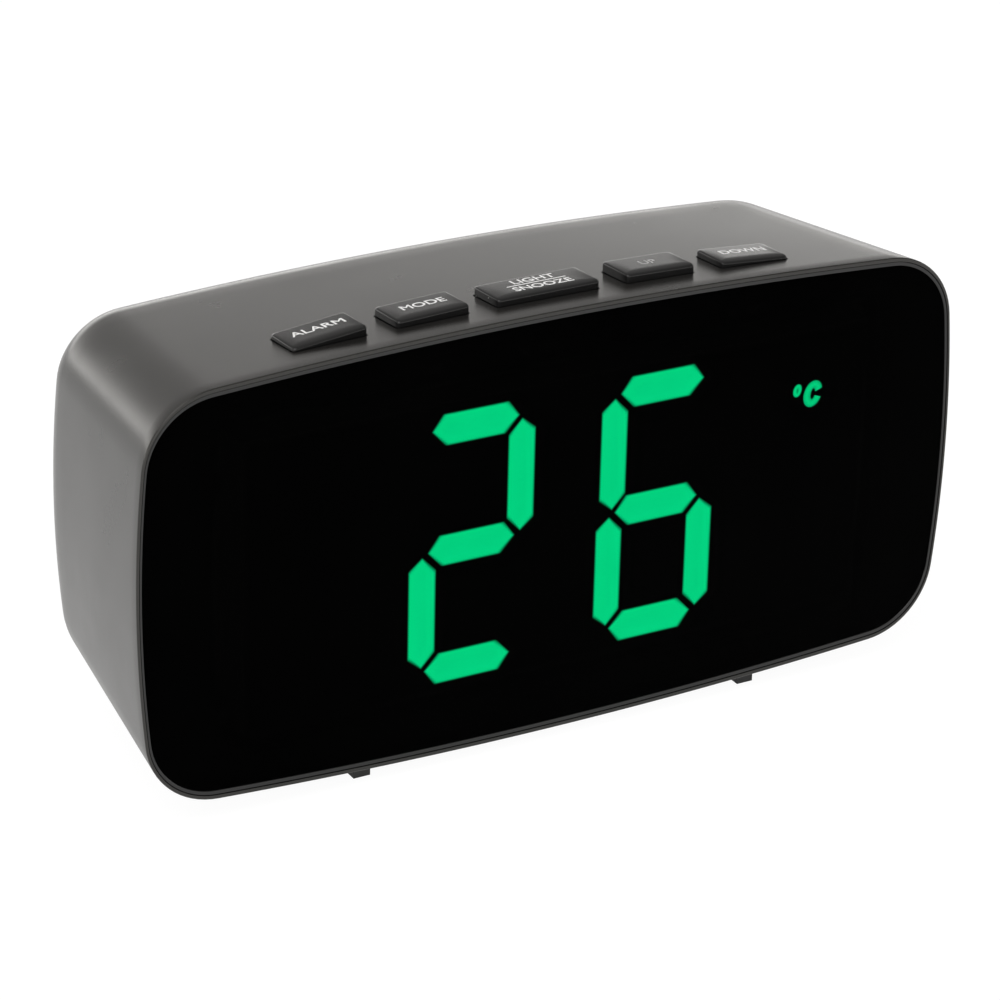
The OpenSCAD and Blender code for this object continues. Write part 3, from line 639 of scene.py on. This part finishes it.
def cell_look():
    """A plain sleeve on the cells' length and bare steel at their ends."""
    look, tree, shader = new_look("cell_wrap")
    where = object_place(tree)
    split = add(tree, "SeparateXYZ")
    tree.links.new(where, split.inputs[0])
    along = maths(tree, "SUBTRACT", split.outputs["X"], WELL_X * MM)
    end = SLEEVE_HALF * MM
    bare = spread(tree, maths(tree, "ABSOLUTE", along, 0), end, end + 0.2 * MM)
    grain = use(tree, "moulded_grain", Grains=900.0, Blotches=60.0)
    sleeve = blend_colours(tree, grain.outputs["Blotch"], (0.04, 0.14, 0.075), (0.055, 0.18, 0.1))
    colour = blend_colours(tree, bare, sleeve, (0.62, 0.61, 0.6))
    tree.links.new(bare, shader.inputs["Metallic"])
    coat(tree, shader, colour, grain.outputs["Blotch"], 0.22, 0.32)
    roughen(tree, shader, grain.outputs["Height"], 0.01)
    return look


def wire_look():
    """Insulated wire, red above the middle of the back and black below it."""
    look, tree, shader = new_look("wire_plastic")
    where = object_place(tree)
    split = add(tree, "SeparateXYZ")
    tree.links.new(where, split.inputs[0])
    upper = maths(tree, "GREATER_THAN", split.outputs["Z"], BACK_Z * MM)
    grain = use(tree, "moulded_grain", Grains=2500.0, Blotches=200.0)
    red = blend_colours(tree, grain.outputs["Blotch"], (0.35, 0.012, 0.012), (0.45, 0.02, 0.02))
    colour = blend_colours(tree, upper, (0.015, 0.015, 0.015), red)
    coat(tree, shader, colour, grain.outputs["Blotch"], 0.35, 0.45)
    return look


def ribbon_look():
    """Flat cable: fine ribs along its length."""
    look, tree, shader = new_look("ribbon_plastic")
    where = object_place(tree)
    ribs = add(tree, "TexWave", wave_type="BANDS", bands_direction="X")
    ribs.inputs["Scale"].default_value = 320.0
    tree.links.new(where, ribs.inputs["Vector"])
    colour = blend_colours(tree, ribs.outputs["Fac"], (0.25, 0.27, 0.3), (0.4, 0.42, 0.45))
    coat(tree, shader, colour, ribs.outputs["Fac"], 0.5, 0.4)
    roughen(tree, shader, ribs.outputs["Fac"], 0.15)
    return look


LOOKS = {
    # the case and the buttons get pale edges, partly rubbed wear and partly a painted highlight
    "case_plastic": plastic("case_plastic", (0.011, 0.0106, 0.0098), (0.0145, 0.014, 0.013), 0.25,
                            relief=0.0015, dust=0.05, wear_and_glint_amount=0.12,
                            Specular_Tint=(1, 0.985, 0.955, 1)),
    "rim_plastic": plastic("rim_plastic", (0.005,) * 3, (0.007,) * 3, 0.16, relief=0.001,
                           dust=0.06),
    "button_plastic": plastic("button_plastic", (0.005,) * 3, (0.007,) * 3, 0.22, relief=0.001,
                              dust=0.06, wear_and_glint_amount=0.06, Specular_IOR_Level=0.38),
    "lens_acrylic": lens_look(),
    "foot_rubber": plastic("foot_rubber", (0.014,) * 3, (0.024,) * 3, 0.75, 2500.0, 0.03,
                           dust=0.04),
    "black_plastic": plastic("black_plastic", (0.016,) * 3, (0.022,) * 3, 0.5),
    "white_plastic": plastic("white_plastic", (0.72, 0.72, 0.69), (0.8, 0.8, 0.77), 0.45),
    "white_ink": plastic("white_ink", (0.94,) * 3, (0.98,) * 3, 0.6, 5000.0, 0.003),
    "pale_ink": plastic("pale_ink", (0.42,) * 3, (0.5,) * 3, 0.6, 5000.0, 0.003),
    "display_film": plastic("display_film", (0.004,) * 3, (0.006,) * 3, 0.6),
    "dark_bar": plastic("dark_bar", (0.012, 0.013, 0.0125), (0.016, 0.018, 0.017), 0.6),
    "lit_bar": lit_look(),
    "led_resin": plastic("led_resin", (0.6, 0.58, 0.38), (0.75, 0.73, 0.5), 0.25),
    "circuit_board": board_look(),
    "plated_steel": metal("plated_steel", (0.5, 0.5, 0.51), (0.66, 0.66, 0.67), 0.28),
    "ribbon_plastic": ribbon_look(),
    "wire_plastic": wire_look(),
    "cell_wrap": cell_look(),
    "capacitor_sleeve": plastic("capacitor_sleeve", (0.012, 0.025, 0.07), (0.02, 0.035, 0.09), 0.3),
    "bead_resin": plastic("bead_resin", (0.16, 0.045, 0.015), (0.22, 0.06, 0.02), 0.25),
}


# ------------------------------------------------------------------ case

def case_shell():
    """The one-piece case: a thin skin with a rounded lip at the front and a rounded rear edge."""
    lip = [ring(short, drawn_in=drawn) for drawn, short in reversed(rounding(LIP_ROUND, 5))]
    side = [ring(d) for d in (3, 8, 14, 20, 28, 36, 41)]
    wall = (WALL, WALL)
    inner = rear_rings(BODY_D - WALL, REAR_R - WALL, 8, wall)
    front = [ring(REBATE_D, wall), ring(REBATE_D, LIP), ring(0.05, LIP)]
    outer = lip + side + rear_rings(BODY_D, REAR_R, 18)
    return skin("case", inner[::-1] + front + outer)


def case_additions():
    """Battery well and screw bosses, joined to the shell."""
    floor = BODY_D - DOOR_T - WELL_DEEP
    parts = [block("well", WELL_X, BACK_Z, floor - WELL_WALL, BODY_D - DOOR_T + 0.5,
                   WELL_W + 2 * WELL_WALL, WELL_H + 2 * WELL_WALL, 2)]
    for sx in (-1, 1):
        for sz in (-1, 1):
            parts.append(rod("boss", MAIN_X + sx * MAIN_BOSS_AT[0], BACK_Z + sz * MAIN_BOSS_AT[1],
                             MAIN_BOSS_FRONT, BODY_D - BOSS_SINK, BOSS_R))
    for x, depth in KEY_BOSSES:
        for s in (-1, 1):
            high = top_z(x, depth) - BOSS_SINK
            parts.append(post("boss", s * x, depth, BOARD_TOP + FIT, high, BOSS_R))
    return parts


def rail_cut(x):
    """The groove that a foot rail is let into."""
    start, end = (y - FRONT_Y for y in (RAIL_LOW.y - FIT, RAIL_HIGH.y + FIT))
    half = RAIL_W / 2 + FIT
    deep = LIP[1] / 2 + FIT
    profile = ((start, -1), (end, -1),
               (end, under_z(x, end) + deep), (start, under_z(x, start) + deep))
    rings = [
        [Vector((x + side, FRONT_Y + depth, z)) for depth, z in profile]
        for side in (-half, half)
    ]
    return skin("groove", rings)


def case_cuts():
    """Every opening in the case: windows, door recess, well, slots, vents, socket and grooves."""
    beyond = BODY_D + 5
    tools = []
    for x, length in zip(KEY_XS, KEY_LS):
        shape = pad_points(length + 2 * KEY_GAP, KEY_W + 2 * KEY_GAP, KEY_R + KEY_GAP)
        rings = [
            [Vector((x + px, FRONT_Y + KEY_MID + py, z)) for px, py in shape]
            for z in (BOARD_TOP + h for h in WINDOW_SPAN)
        ]
        tools.append(skin("window", rings))
    width, height = DOOR_HIGH.x - DOOR_LOW.x, DOOR_HIGH.z - DOOR_LOW.z
    tools.append(block("recess", WELL_X, BACK_Z, BODY_D - DOOR_T, beyond,
                       width + 2 * RUN, height + 2 * RUN, DOOR_R + RUN))
    tools.append(block("mouth", WELL_X, BACK_Z, BODY_D - DOOR_T - WELL_DEEP, beyond,
                       WELL_W, WELL_H, 1))
    tools.append(rod("notch", DOOR_LOW.x - 1, BACK_Z, BODY_D - NOTCH_D, beyond, NOTCH_R))
    inside = BODY_D - WALL - 2
    width, height, r = SLOT_SIZE
    for i in range(-2, 3):
        tools.append(block("slot", MAIN_X + SLOTS_AT[0] + SLOT_STEP * i, BACK_Z + SLOTS_AT[1],
                           inside, beyond, width, height - abs(i) * SLOT_DROP, r))
    for i in (-1, 0, 1):
        tools.append(block("vent", MAIN_X + VENTS_AT[0] + VENT_STEP * i, BACK_Z + VENTS_AT[1],
                           inside, beyond, *VENT_SIZE))
    tools.append(rod("inlet", MAIN_X + INLET_AT[0], BACK_Z + INLET_AT[1], inside - 2, beyond,
                     INLET_R))
    tools += [rail_cut(x) for x in (RAIL_LOW.x + RAIL_W / 2, RAIL_HIGH.x - RAIL_W / 2)]
    return tools


def make_case():
    case = case_shell()
    carve(case, case_additions(), "UNION")
    carve(case, case_cuts())
    shade(case)
    place(case, "case", "case_plastic", LOOKS["case_plastic"], "housing")


# ------------------------------------------------------------------ front frame and lens

def hook(x, z, turn, width=6, thick=1.4, reach=HOOK_REACH):
    """A snap hook that runs back from the frame, with its barb pointing out to turn degrees."""
    profile = ((FRAME_D - 0.5, -thick), (reach, -thick), (reach - 0.4, 0.5), (reach - 1.0, 0.8),
               (reach - 1.6, 0.8), (reach - 1.6, 0), (FRAME_D - 0.5, 0))
    spin = Matrix.Rotation(math.radians(turn), 3, "Y")
    rings = []
    for side in (-width / 2, width / 2):
        points = [spin @ Vector((side, depth, up)) for depth, up in profile]
        rings.append([p + Vector((x, FRONT_Y, z)) for p in points])
    return skin("hook", rings)


def make_frame():
    """The black frame: a thin visible land, a seat for the lens, posts and snap hooks."""
    land = (LIP[0] + FIT, LIP[1] + FIT)
    pocket = (RIM[0] - FIT / 2, RIM[1] - FIT / 2)
    inner = (RIM[0] + FLANGE[0], RIM[1] + FLANGE[1])
    front, seat, r = LENS_FRONT / 2, LENS_BACK + 0.02, FRAME_ROUND
    outer_rounds = [ring(front + back, (land[0] + step, land[1] + step))
                    for back, step in rounding(r, 3)]
    inner_rounds = [ring(front + back, (pocket[0] - step, pocket[1] - step))
                    for back, step in rounding(r, 3)]
    rings = [ring(FRAME_D, land)] + outer_rounds[::-1] + inner_rounds + [
        ring(seat, pocket), ring(seat, inner), ring(FRAME_D, inner)]
    made = skin("front_frame_trim", rings, closed=True)
    places = [(COLON[0] + sx * POST_X, FACE_Z + sz * (DIGIT_H / 2 - 2))
              for sx in (-1, 1) for sz in (-1, 1)]
    posts = [rod("post", x, z, FRAME_D - 1, POST_END, POST_R) for x, z in places]
    room = WALL + HOOK_GAP
    hooks = [hook(x, top_z(x, HOOK_REACH) - room, 0) for x in (-HOOK_X, HOOK_X)]
    hooks += [hook(x, under_z(x, HOOK_REACH) + room, 180) for x in (-HOOK_X, HOOK_X)]
    side = HALF_W - TAPER_SIDE * HOOK_REACH - room
    hooks += [hook(-side, MID_Z, -90), hook(side, MID_Z, 90)]
    carve(made, posts + hooks, "UNION")
    carve(made, [rod("pilot", x, z, LENS_BACK + 1.2, 12, PILOT_R) for x, z in places])
    shade(made)
    place(made, "case", "rim_plastic", LOOKS["rim_plastic"], "front_frame")


def make_lens():
    """The flat tinted lens with its edge just broken."""
    edge = 0.12
    rings = [ring(LENS_BACK, RIM)]
    for drawn, short in rounding(edge, 3):
        rings.append(ring(LENS_FRONT + short, (RIM[0] + drawn, RIM[1] + drawn)))
    made = skin("lens", rings)
    shade(made)
    place(made, "case", "lens_acrylic", LOOKS["lens_acrylic"], "front_lens")


# ------------------------------------------------------------------ display

def bar_points(length, width, inset=0.0):
    """A bar with pointed ends, long on its outer edge and short on its inner edge."""
    half, w = length / 2 - inset * 1.3, width / 2 - inset
    point, shoulder = 2.2, 2.8
    return ((-half, 0), (-half + point, w), (half - point, w),
            (half, 0), (half - shoulder, -w), (-half + shoulder, -w))


BARS = {
    "a": (0, DIGIT_H / 2, 0), "g": (0, 0, 0), "d": (0, -DIGIT_H / 2, 180),
    "f": (-DIGIT_W / 2, DIGIT_H / 4, 90), "e": (-DIGIT_W / 2, -DIGIT_H / 4, 90),
    "b": (DIGIT_W / 2, DIGIT_H / 4, -90), "c": (DIGIT_W / 2, -DIGIT_H / 4, -90),
}
END_GAPS = (1.8, 1.45)     # how much shorter than its side a level and an upright bar is
LIT = ("", "abged", "afgecd", "")    # which bars of each digit are lit
BAR_DEPTHS = (LENS_BACK + 0.03, LENS_BACK + 0.06)
SOFT_EDGE = 0.45
SPILL = 0.15       # how far the light spreads past a bar's own edge


def bar_outline(digit, bar, inset=0.0):
    """Points of one bar of a digit on the face, as x and z."""
    x, z, turn = BARS[bar]
    level = bar in "agd"
    length = DIGIT_W - END_GAPS[0] if level else DIGIT_H / 2 - END_GAPS[1]
    width = BAR_H if level else BAR_W
    spin = Matrix.Rotation(math.radians(turn), 2)
    centre = Vector((DIGIT_XS[digit] + x + SLANT * z, FACE_Z + z))
    return [spin @ Vector(p) + centre for p in bar_points(length, width, inset)]


def dot_outline(x, z, r):
    return [Vector((x + px, z + pz)) for px, pz in circle_points(r, 32)]


def stroke_outline(x, z, radii, width, start, end, lean, steps=20):
    """A curved stroke along a leaning ellipse, as a band from one angle to another."""
    outer, inner = [], []
    for i in range(steps + 1):
        t = math.radians(start + (end - start) * i / steps)
        for line, half in ((outer, width / 2), (inner, -width / 2)):
            px, pz = (radii[0] + half) * math.cos(t), (radii[1] + half) * math.sin(t)
            line.append(Vector((x + px + lean * pz, z + pz)))
    return outer, inner


class Sheet:
    """Thin flat shapes on the face, with a value at each point for how much light it gives."""

    def __init__(self):
        self.points, self.faces, self.light = [], [], []

    def _ring(self, outline_points, depth, light):
        start = len(self.points)
        self.points += [Vector((p.x, FRONT_Y + depth, p.y)) for p in outline_points]
        self.light += [light] * len(outline_points)
        return start

    def plate(self, outer, inner):
        """A plate with a faded edge between its outer and its inner outline."""
        front, back = BAR_DEPTHS
        n = len(outer)
        rings = (self._ring(outer, back, 0), self._ring(outer, front, 0),
                 self._ring(inner, front, 1))
        for a, b in zip(rings, rings[1:]):
            self.faces += [(a + i, a + (i + 1) % n, b + (i + 1) % n, b + i) for i in range(n)]
        self.faces.append(tuple(rings[2] + i for i in range(n)))
        self.faces.append(tuple(rings[0] + i for i in range(n)))

    def band(self, outer, inner, closed=False):
        """A curved stroke between two lines of points, brightest along its middle."""
        front, back = BAR_DEPTHS
        middle = [(a + b) / 2 for a, b in zip(outer, inner)]
        n = len(outer)
        rows = (self._ring(outer, back, 0), self._ring(outer, front, 0.6),
                self._ring(middle, front, 1), self._ring(inner, front, 0.6),
                self._ring(inner, back, 0))
        for a, b in zip(rows, rows[1:] + rows[:1]):
            for i in range(n if closed else n - 1):
                k = (i + 1) % n
                self.faces.append((a + i, a + k, b + k, b + i))
        if not closed:
            self.faces += [rows, tuple(r + n - 1 for r in rows)]

    def make(self, name):
        mesh = bpy.data.meshes.new(name)
        mesh.from_pydata([p * MM for p in self.points], [], self.faces)
        shape = bmesh.new()
        shape.from_mesh(mesh)
        bmesh.ops.recalc_face_normals(shape, faces=shape.faces)
        shape.to_mesh(mesh)
        shape.free()
        values = mesh.attributes.new("light", "FLOAT", "POINT")
        values.data.foreach_set("value", self.light)
        return show(name, mesh)


def make_display():
    """The film behind the lens, with its lit and unlit bars, and the small degree sign and C."""
    lit, dark = Sheet(), Sheet()
    for digit, letters in enumerate(LIT):
        for bar in BARS:
            sheet = lit if bar in letters else dark
            spill = SPILL if sheet is lit else 0
            sheet.plate(bar_outline(digit, bar, -spill), bar_outline(digit, bar, SOFT_EDGE - spill))
    x, rise, r = COLON
    for s in (-1, 1):
        z = FACE_Z + s * rise
        dark.plate(dot_outline(x, z, r), dot_outline(x, z, r - SOFT_EDGE))
    lit.band(*stroke_outline(**DEGREE), closed=True)
    lit.band(*stroke_outline(**LETTER_C))
    place(lit.make("lit_bars"), "case", "display_film", LOOKS["lit_bar"])
    place(dark.make("dark_bars"), "case", "display_film", LOOKS["dark_bar"])
    size = FILM_HIGH - FILM_LOW
    middle = (FILM_HIGH + FILM_LOW) / 2
    film = block("film", middle.x, middle.z, FILM_LOW.y - FRONT_Y, FILM_HIGH.y - FRONT_Y,
                 size.x, size.z, 0.8)
    place(film, "case", "display_film", LOOKS["display_film"], "diffuser_film")


# ------------------------------------------------------------------ keys and their printed words

def key_surface(i, dx, dy):
    """Height of a key's upper surface at a distance from the key's middle."""
    forward = max(KEY_ROLL_L - KEY_W / 2 - dy, 0) / KEY_ROLL_L
    level = top_z(KEY_XS[i] + dx, KEY_MID + dy) + KEY_RISES[i] + KEY_FALLS[i] * dx
    return level - KEY_ROLL * forward ** 2


def key_ring(i, shape, height):
    """Points of a key's outline, at heights that a rule gives for each point."""
    return [Vector((KEY_XS[i] + px, FRONT_Y + KEY_MID + py, height(px, py))) for px, py in shape]


def make_key(i):
    """One key: a stem, a flange under the case's top, upright walls and a rounded upper edge."""
    name, length, x = KEY_NAMES[i], KEY_LS[i], KEY_XS[i]
    base = -WALL - RUN - KEY_FLANGE_T
    plunger_top = box_mm(name + "_plunger")[1].z

    def shape(grow, r=None):
        return pad_points(length + 2 * grow, KEY_W + 2 * grow, max(r or KEY_R + grow, 0.3))

    def above_case(h):
        return lambda px, py: top_z(x + px, KEY_MID + py) + h

    def under_top(drop):
        return lambda px, py: key_surface(i, px, py) - drop

    stem = pad_points(2 * KEY_STEM_R, 2 * KEY_STEM_R, KEY_STEM_R)
    rings = [
        key_ring(i, stem, lambda px, py: plunger_top),
        key_ring(i, stem, above_case(base)),
        key_ring(i, shape(KEY_LAP), above_case(base)),
        key_ring(i, shape(KEY_LAP), above_case(base + KEY_FLANGE_T)),
        key_ring(i, shape(0), above_case(base + KEY_FLANGE_T)),
    ]
    for drawn, short in rounding(KEY_ROUND, 7):
        rings.append(key_ring(i, shape(-drawn, KEY_R), under_top(short)))
    rim = shape(-KEY_ROUND, KEY_R)
    for share in (0.95, 0.88, 0.8, 0.7, 0.6, 0.5, 0.35, 0.2, 0.05):
        rings.append(key_ring(i, [(px * share, py * share) for px, py in rim], under_top(0)))
    made = skin(name + "_keytop", rings)
    shade(made, 40)
    place(made, name + "_key", "button_plastic", LOOKS["button_plastic"], name + "_button")


def word_mesh(text):
    """A word as a flat filled mesh, before it is sized."""
    curve = bpy.data.curves.new(text, "FONT")
    curve.body = text
    curve.resolution_u = 6
    holder = show(text, curve)
    view = bpy.context.evaluated_depsgraph_get()
    mesh = bpy.data.meshes.new_from_object(holder.evaluated_get(view))
    bpy.data.objects.remove(holder)
    return mesh


def embolden(shape, grow):
    """Moves the outline of flat letters outwards by a small distance."""
    shape.normal_update()
    moves = {}
    for edge in shape.edges:
        if not edge.is_boundary:
            continue
        a, b = (v.co for v in edge.verts)
        out = (b - a).cross(Vector((0, 0, 1))).normalized()
        inside = edge.link_faces[0].calc_center_median() - (a + b) / 2
        if out.dot(inside) > 0:
            out.negate()
        for v in edge.verts:
            moves.setdefault(v, []).append(out)
    for v, outs in moves.items():
        v.co += sum(outs, Vector()).normalized() * grow


def print_on_key(i, name, mesh, middle, width, height, ink):
    """Lays a flat mesh on a key as a thin print that follows the key's upper surface."""
    low = Vector((min(v.co.x for v in mesh.vertices), min(v.co.y for v in mesh.vertices)))
    high = Vector((max(v.co.x for v in mesh.vertices), max(v.co.y for v in mesh.vertices)))
    shape = bmesh.new()
    shape.from_mesh(mesh)
    bmesh.ops.remove_doubles(shape, verts=shape.verts, dist=1e-6)
    bmesh.ops.triangulate(shape, faces=shape.faces)
    for v in shape.verts:
        v.co.x = middle[0] + ((v.co.x - low.x) / (high.x - low.x) - 0.5) * width
        v.co.y = middle[1] + ((v.co.y - low.y) / (high.y - low.y) - 0.5) * height
    embolden(shape, BOLDER)
    print_t = 0.015
    for v in shape.verts:
        dx, dy = v.co.x, v.co.y
        z = key_surface(i, dx, dy) + print_t
        v.co = Vector((KEY_XS[i] + dx, FRONT_Y + KEY_MID + dy, z)) * MM
    shape.to_mesh(mesh)
    shape.free()
    made = show(name, mesh)
    thick = made.modifiers.new("thickness", "SOLIDIFY")
    thick.thickness = print_t * 1.5 * MM
    thick.offset = -1
    settle(made)
    place(made, KEY_NAMES[i] + "_key", "white_plastic", LOOKS[ink])


def rule_mesh():
    """A thin straight line, before it is sized."""
    mesh = bpy.data.meshes.new("rule")
    mesh.from_pydata([(x, y, 0) for y in (0, 1) for x in (0, 0.25, 0.5, 0.75, 1)], [],
                     [(i, i + 1, i + 6, i + 5) for i in range(4)])
    return mesh


def make_words():
    """The generic function words: key, word, middle, width, height and ink."""
    words = (
        (0, "ALARM", (0.1, 0.85), 9.8, 2.0, "white_ink"),
        (1, "MODE", (0.5, 0.6), 8.2, 2.1, "white_ink"),
        (2, "LIGHT", (0.4, 2.1), 8.2, 2.0, "white_ink"),
        (2, "SNOOZE", (0.3, -1.5), 11.2, 2.0, "white_ink"),
        (3, "UP", (0.0, 0.3), 3.1, 1.9, "pale_ink"),
        (4, "DOWN", (0.5, 0.8), 9.0, 2.0, "white_ink"),
    )
    for i, text, middle, width, height, ink in words:
        print_on_key(i, text.lower() + "_print", word_mesh(text), middle, width, height, ink)
    print_on_key(2, "rule_print", rule_mesh(), (0.1, 0.35), 11.4, 0.25, "white_ink")


# ------------------------------------------------------------------ back

def make_door():
    """The battery door: a plate with a softened edge, grip grooves and gripping lugs."""
    width, height = DOOR_HIGH.x - DOOR_LOW.x, DOOR_HIGH.z - DOOR_LOW.z
    inner, outer = BODY_D - DOOR_T + 0.05, BODY_D
    rings = upright(pad_points(width, height, DOOR_R, 8), WELL_X, BACK_Z, inner, outer - DOOR_SOFT)
    for drawn, short in rounding(DOOR_SOFT, 4)[1:]:
        shape = pad_points(width - 2 * drawn, height - 2 * drawn, DOOR_R - drawn, 8)
        rings.append(upright(shape, WELL_X, BACK_Z, outer - short, outer - short)[0])
    door = skin("battery_cover", rings)
    lugs = []
    for sx in (-1, 1):
        for sz in (-1, 1):
            z = BACK_Z + sz * (WELL_H / 2 - RUN - LUG_SIZE[1] / 2)
            lugs.append(block("lug", WELL_X + sx * WELL_W / 3, z, inner - LUG_D, inner + 0.25,
                              *LUG_SIZE))
    carve(door, lugs, "UNION")
    grooves = [
        block("groove", DOOR_LOW.x + GRIPS[0] + GRIPS[1] * i, BACK_Z, outer - GRIP_D, outer + 1,
              *GRIP_SIZE)
        for i in range(3)
    ]
    carve(door, grooves)
    shade(door)
    place(door, "door", "case_plastic", LOOKS["case_plastic"], "battery_door")


# ------------------------------------------------------------------ pieces kept from the CAD

KEPT = {
    "foot_rubber": ("foot_rails",),
    "black_plastic": (
        "alarm_plunger", "mode_plunger", "snooze_plunger", "up_plunger", "down_plunger",
        "digit_drivers", "controller_chip", "buzzer", "power_socket", "small_components"),
    "white_plastic": ("light_box", "board_connectors"),
    "led_resin": ("segment_leds",),
    "circuit_board": ("key_board", "display_board", "main_board"),
    "plated_steel": (
        "key_switches", "key_board_screws", "display_screws", "main_board_screws",
        "quartz_crystal", "socket_pin", "spring_contacts", "flat_contacts"),
    "ribbon_plastic": ("display_ribbon", "key_ribbon"),
    "wire_plastic": ("battery_wires",),
    "cell_wrap": ("battery_cells",),
    "capacitor_sleeve": ("capacitors",),
    "bead_resin": ("thermistor",),
}
SOFTENED = {
    "foot_rails": 0.25, "power_socket": 0.15, "buzzer": 0.3, "controller_chip": 0.1,
    "key_switches": 0.12, "board_connectors": 0.12, "light_box": 0.1, "key_board": 0.08,
    "display_board": 0.08, "main_board": 0.08, "segment_leds": 0.08, "battery_cells": 0.4,
    "capacitors": 0.4, "digit_drivers": 0.08, "small_components": 0.08, "flat_contacts": 0.06,
    "key_board_screws": 0.1, "display_screws": 0.1, "main_board_screws": 0.1,
}


def finish_kept_nodes():
    for look, nodes in KEPT.items():
        for node in nodes:
            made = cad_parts[node]
            made.data.materials.clear()
            made.data.materials.append(LOOKS[look])
    for node, width in SOFTENED.items():
        soften(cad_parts[node], width)


# ------------------------------------------------------------------ stage

CAMERA_TURN = -30.155
CAMERA_LIFT = 24.369
CAMERA_ROLL = 1.382
CAMERA_AWAY = 659.45
CAMERA_LENS = 140.82
LOOK_AT = Vector((-12.696, -29, 48.339))
AIM_Z = 0.04    # height in metres of the point that the light faces


def make_camera():
    turn, lift, roll = (math.radians(a) for a in (CAMERA_TURN, CAMERA_LIFT, CAMERA_ROLL))
    flat = math.cos(lift)
    back = Vector((math.sin(turn) * flat, -math.cos(turn) * flat, math.sin(lift)))
    right = Vector((math.cos(turn), math.sin(turn), 0))
    up = back.cross(right)
    rolled_right = right * math.cos(roll) + up * math.sin(roll)
    rolled_up = up * math.cos(roll) - right * math.sin(roll)
    matrix = Matrix((rolled_right, rolled_up, back)).transposed().to_4x4()
    matrix.translation = (LOOK_AT + back * CAMERA_AWAY) * MM
    data = bpy.data.cameras.new("camera")
    data.lens = CAMERA_LENS
    data.sensor_width = 36
    data.clip_start = 0.01
    camera = show("camera", data)
    camera.matrix_world = matrix
    bpy.context.scene.camera = camera


def area_light(name, place_at, size, power):
    """A soft square light that faces the middle of the clock."""
    data = bpy.data.lights.new(name, "AREA")
    data.size = size
    data.energy = power
    light = show(name, data)
    light.location = place_at
    away = Vector(place_at) - Vector((0, 0, AIM_Z))
    light.rotation_euler = away.to_track_quat("Z", "Y").to_euler()


def make_surround():
    """A warm white surround, brightest near the floor, and dimmer overhead and to the right."""
    world = bpy.data.worlds.new("surround")
    world.use_nodes = True
    tree = world.node_tree
    split = add(tree, "SeparateXYZ")
    tree.links.new(add(tree, "TexCoord").outputs["Generated"], split.inputs[0])
    low = spread(tree, split.outputs["Z"], 0.0, 0.19, 3.9, 0.72)
    high = spread(tree, split.outputs["Z"], 0.2, 0.32, 1.0, 0.78)
    side = spread(tree, split.outputs["X"], 0.38, 0.56, 1.0, 0.74)
    strength = maths(tree, "MULTIPLY", maths(tree, "MULTIPLY", low, high), side)
    tree.links.new(strength, tree.nodes["Background"].inputs["Strength"])
    tree.nodes["Background"].inputs["Color"].default_value = (1, 0.985, 0.962, 1)
    bpy.context.scene.world = world


def floor_look():
    """White paper lit from below, so that it stays white around a soft shadow."""
    look, tree, shader = new_look("floor_paper", Roughness=0.9)
    shader.inputs["Specular IOR Level"].default_value = 0.1
    shader.inputs["Emission Color"].default_value = (1, 1, 1, 1)
    shader.inputs["Emission Strength"].default_value = 0.38
    where = object_place(tree)
    colour = blend_colours(tree, noise_at(tree, where, 30.0), (0.74,) * 3, (0.76,) * 3)
    tree.links.new(colour, shader.inputs["Base Color"])
    white = add(tree, "Emission")
    white.inputs["Strength"].default_value = 1.05
    seen = maths(tree, "MULTIPLY", add(tree, "LightPath").outputs["Is Camera Ray"], 0.85)
    mix = add(tree, "MixShader")
    for source, socket in zip((seen, shader.outputs[0], white.outputs[0]), mix.inputs):
        tree.links.new(source, socket)
    end = next(n for n in tree.nodes if n.bl_idname == "ShaderNodeOutputMaterial")
    tree.links.new(mix.outputs[0], end.inputs["Surface"])
    return look


def make_stage():
    """A pale floor, a white surround and soft studio lights."""
    half = 4.0
    mesh = bpy.data.meshes.new("floor")
    mesh.from_pydata([(-half, -half, 0), (half, -half, 0), (half, half, 0), (-half, half, 0)], [],
                     [(0, 1, 2, 3)])
    floor = show("floor", mesh)
    floor.data.materials.append(floor_look())
    make_surround()
    area_light("key_light", (-0.5, -0.5, 0.9), 0.8, 5.0)
    bpy.context.scene.view_settings.view_transform = "Standard"


make_camera()
make_case()
make_frame()
make_lens()
make_display()
for index in range(len(KEY_XS)):
    make_key(index)
make_words()
make_door()
finish_kept_nodes()
make_stage()
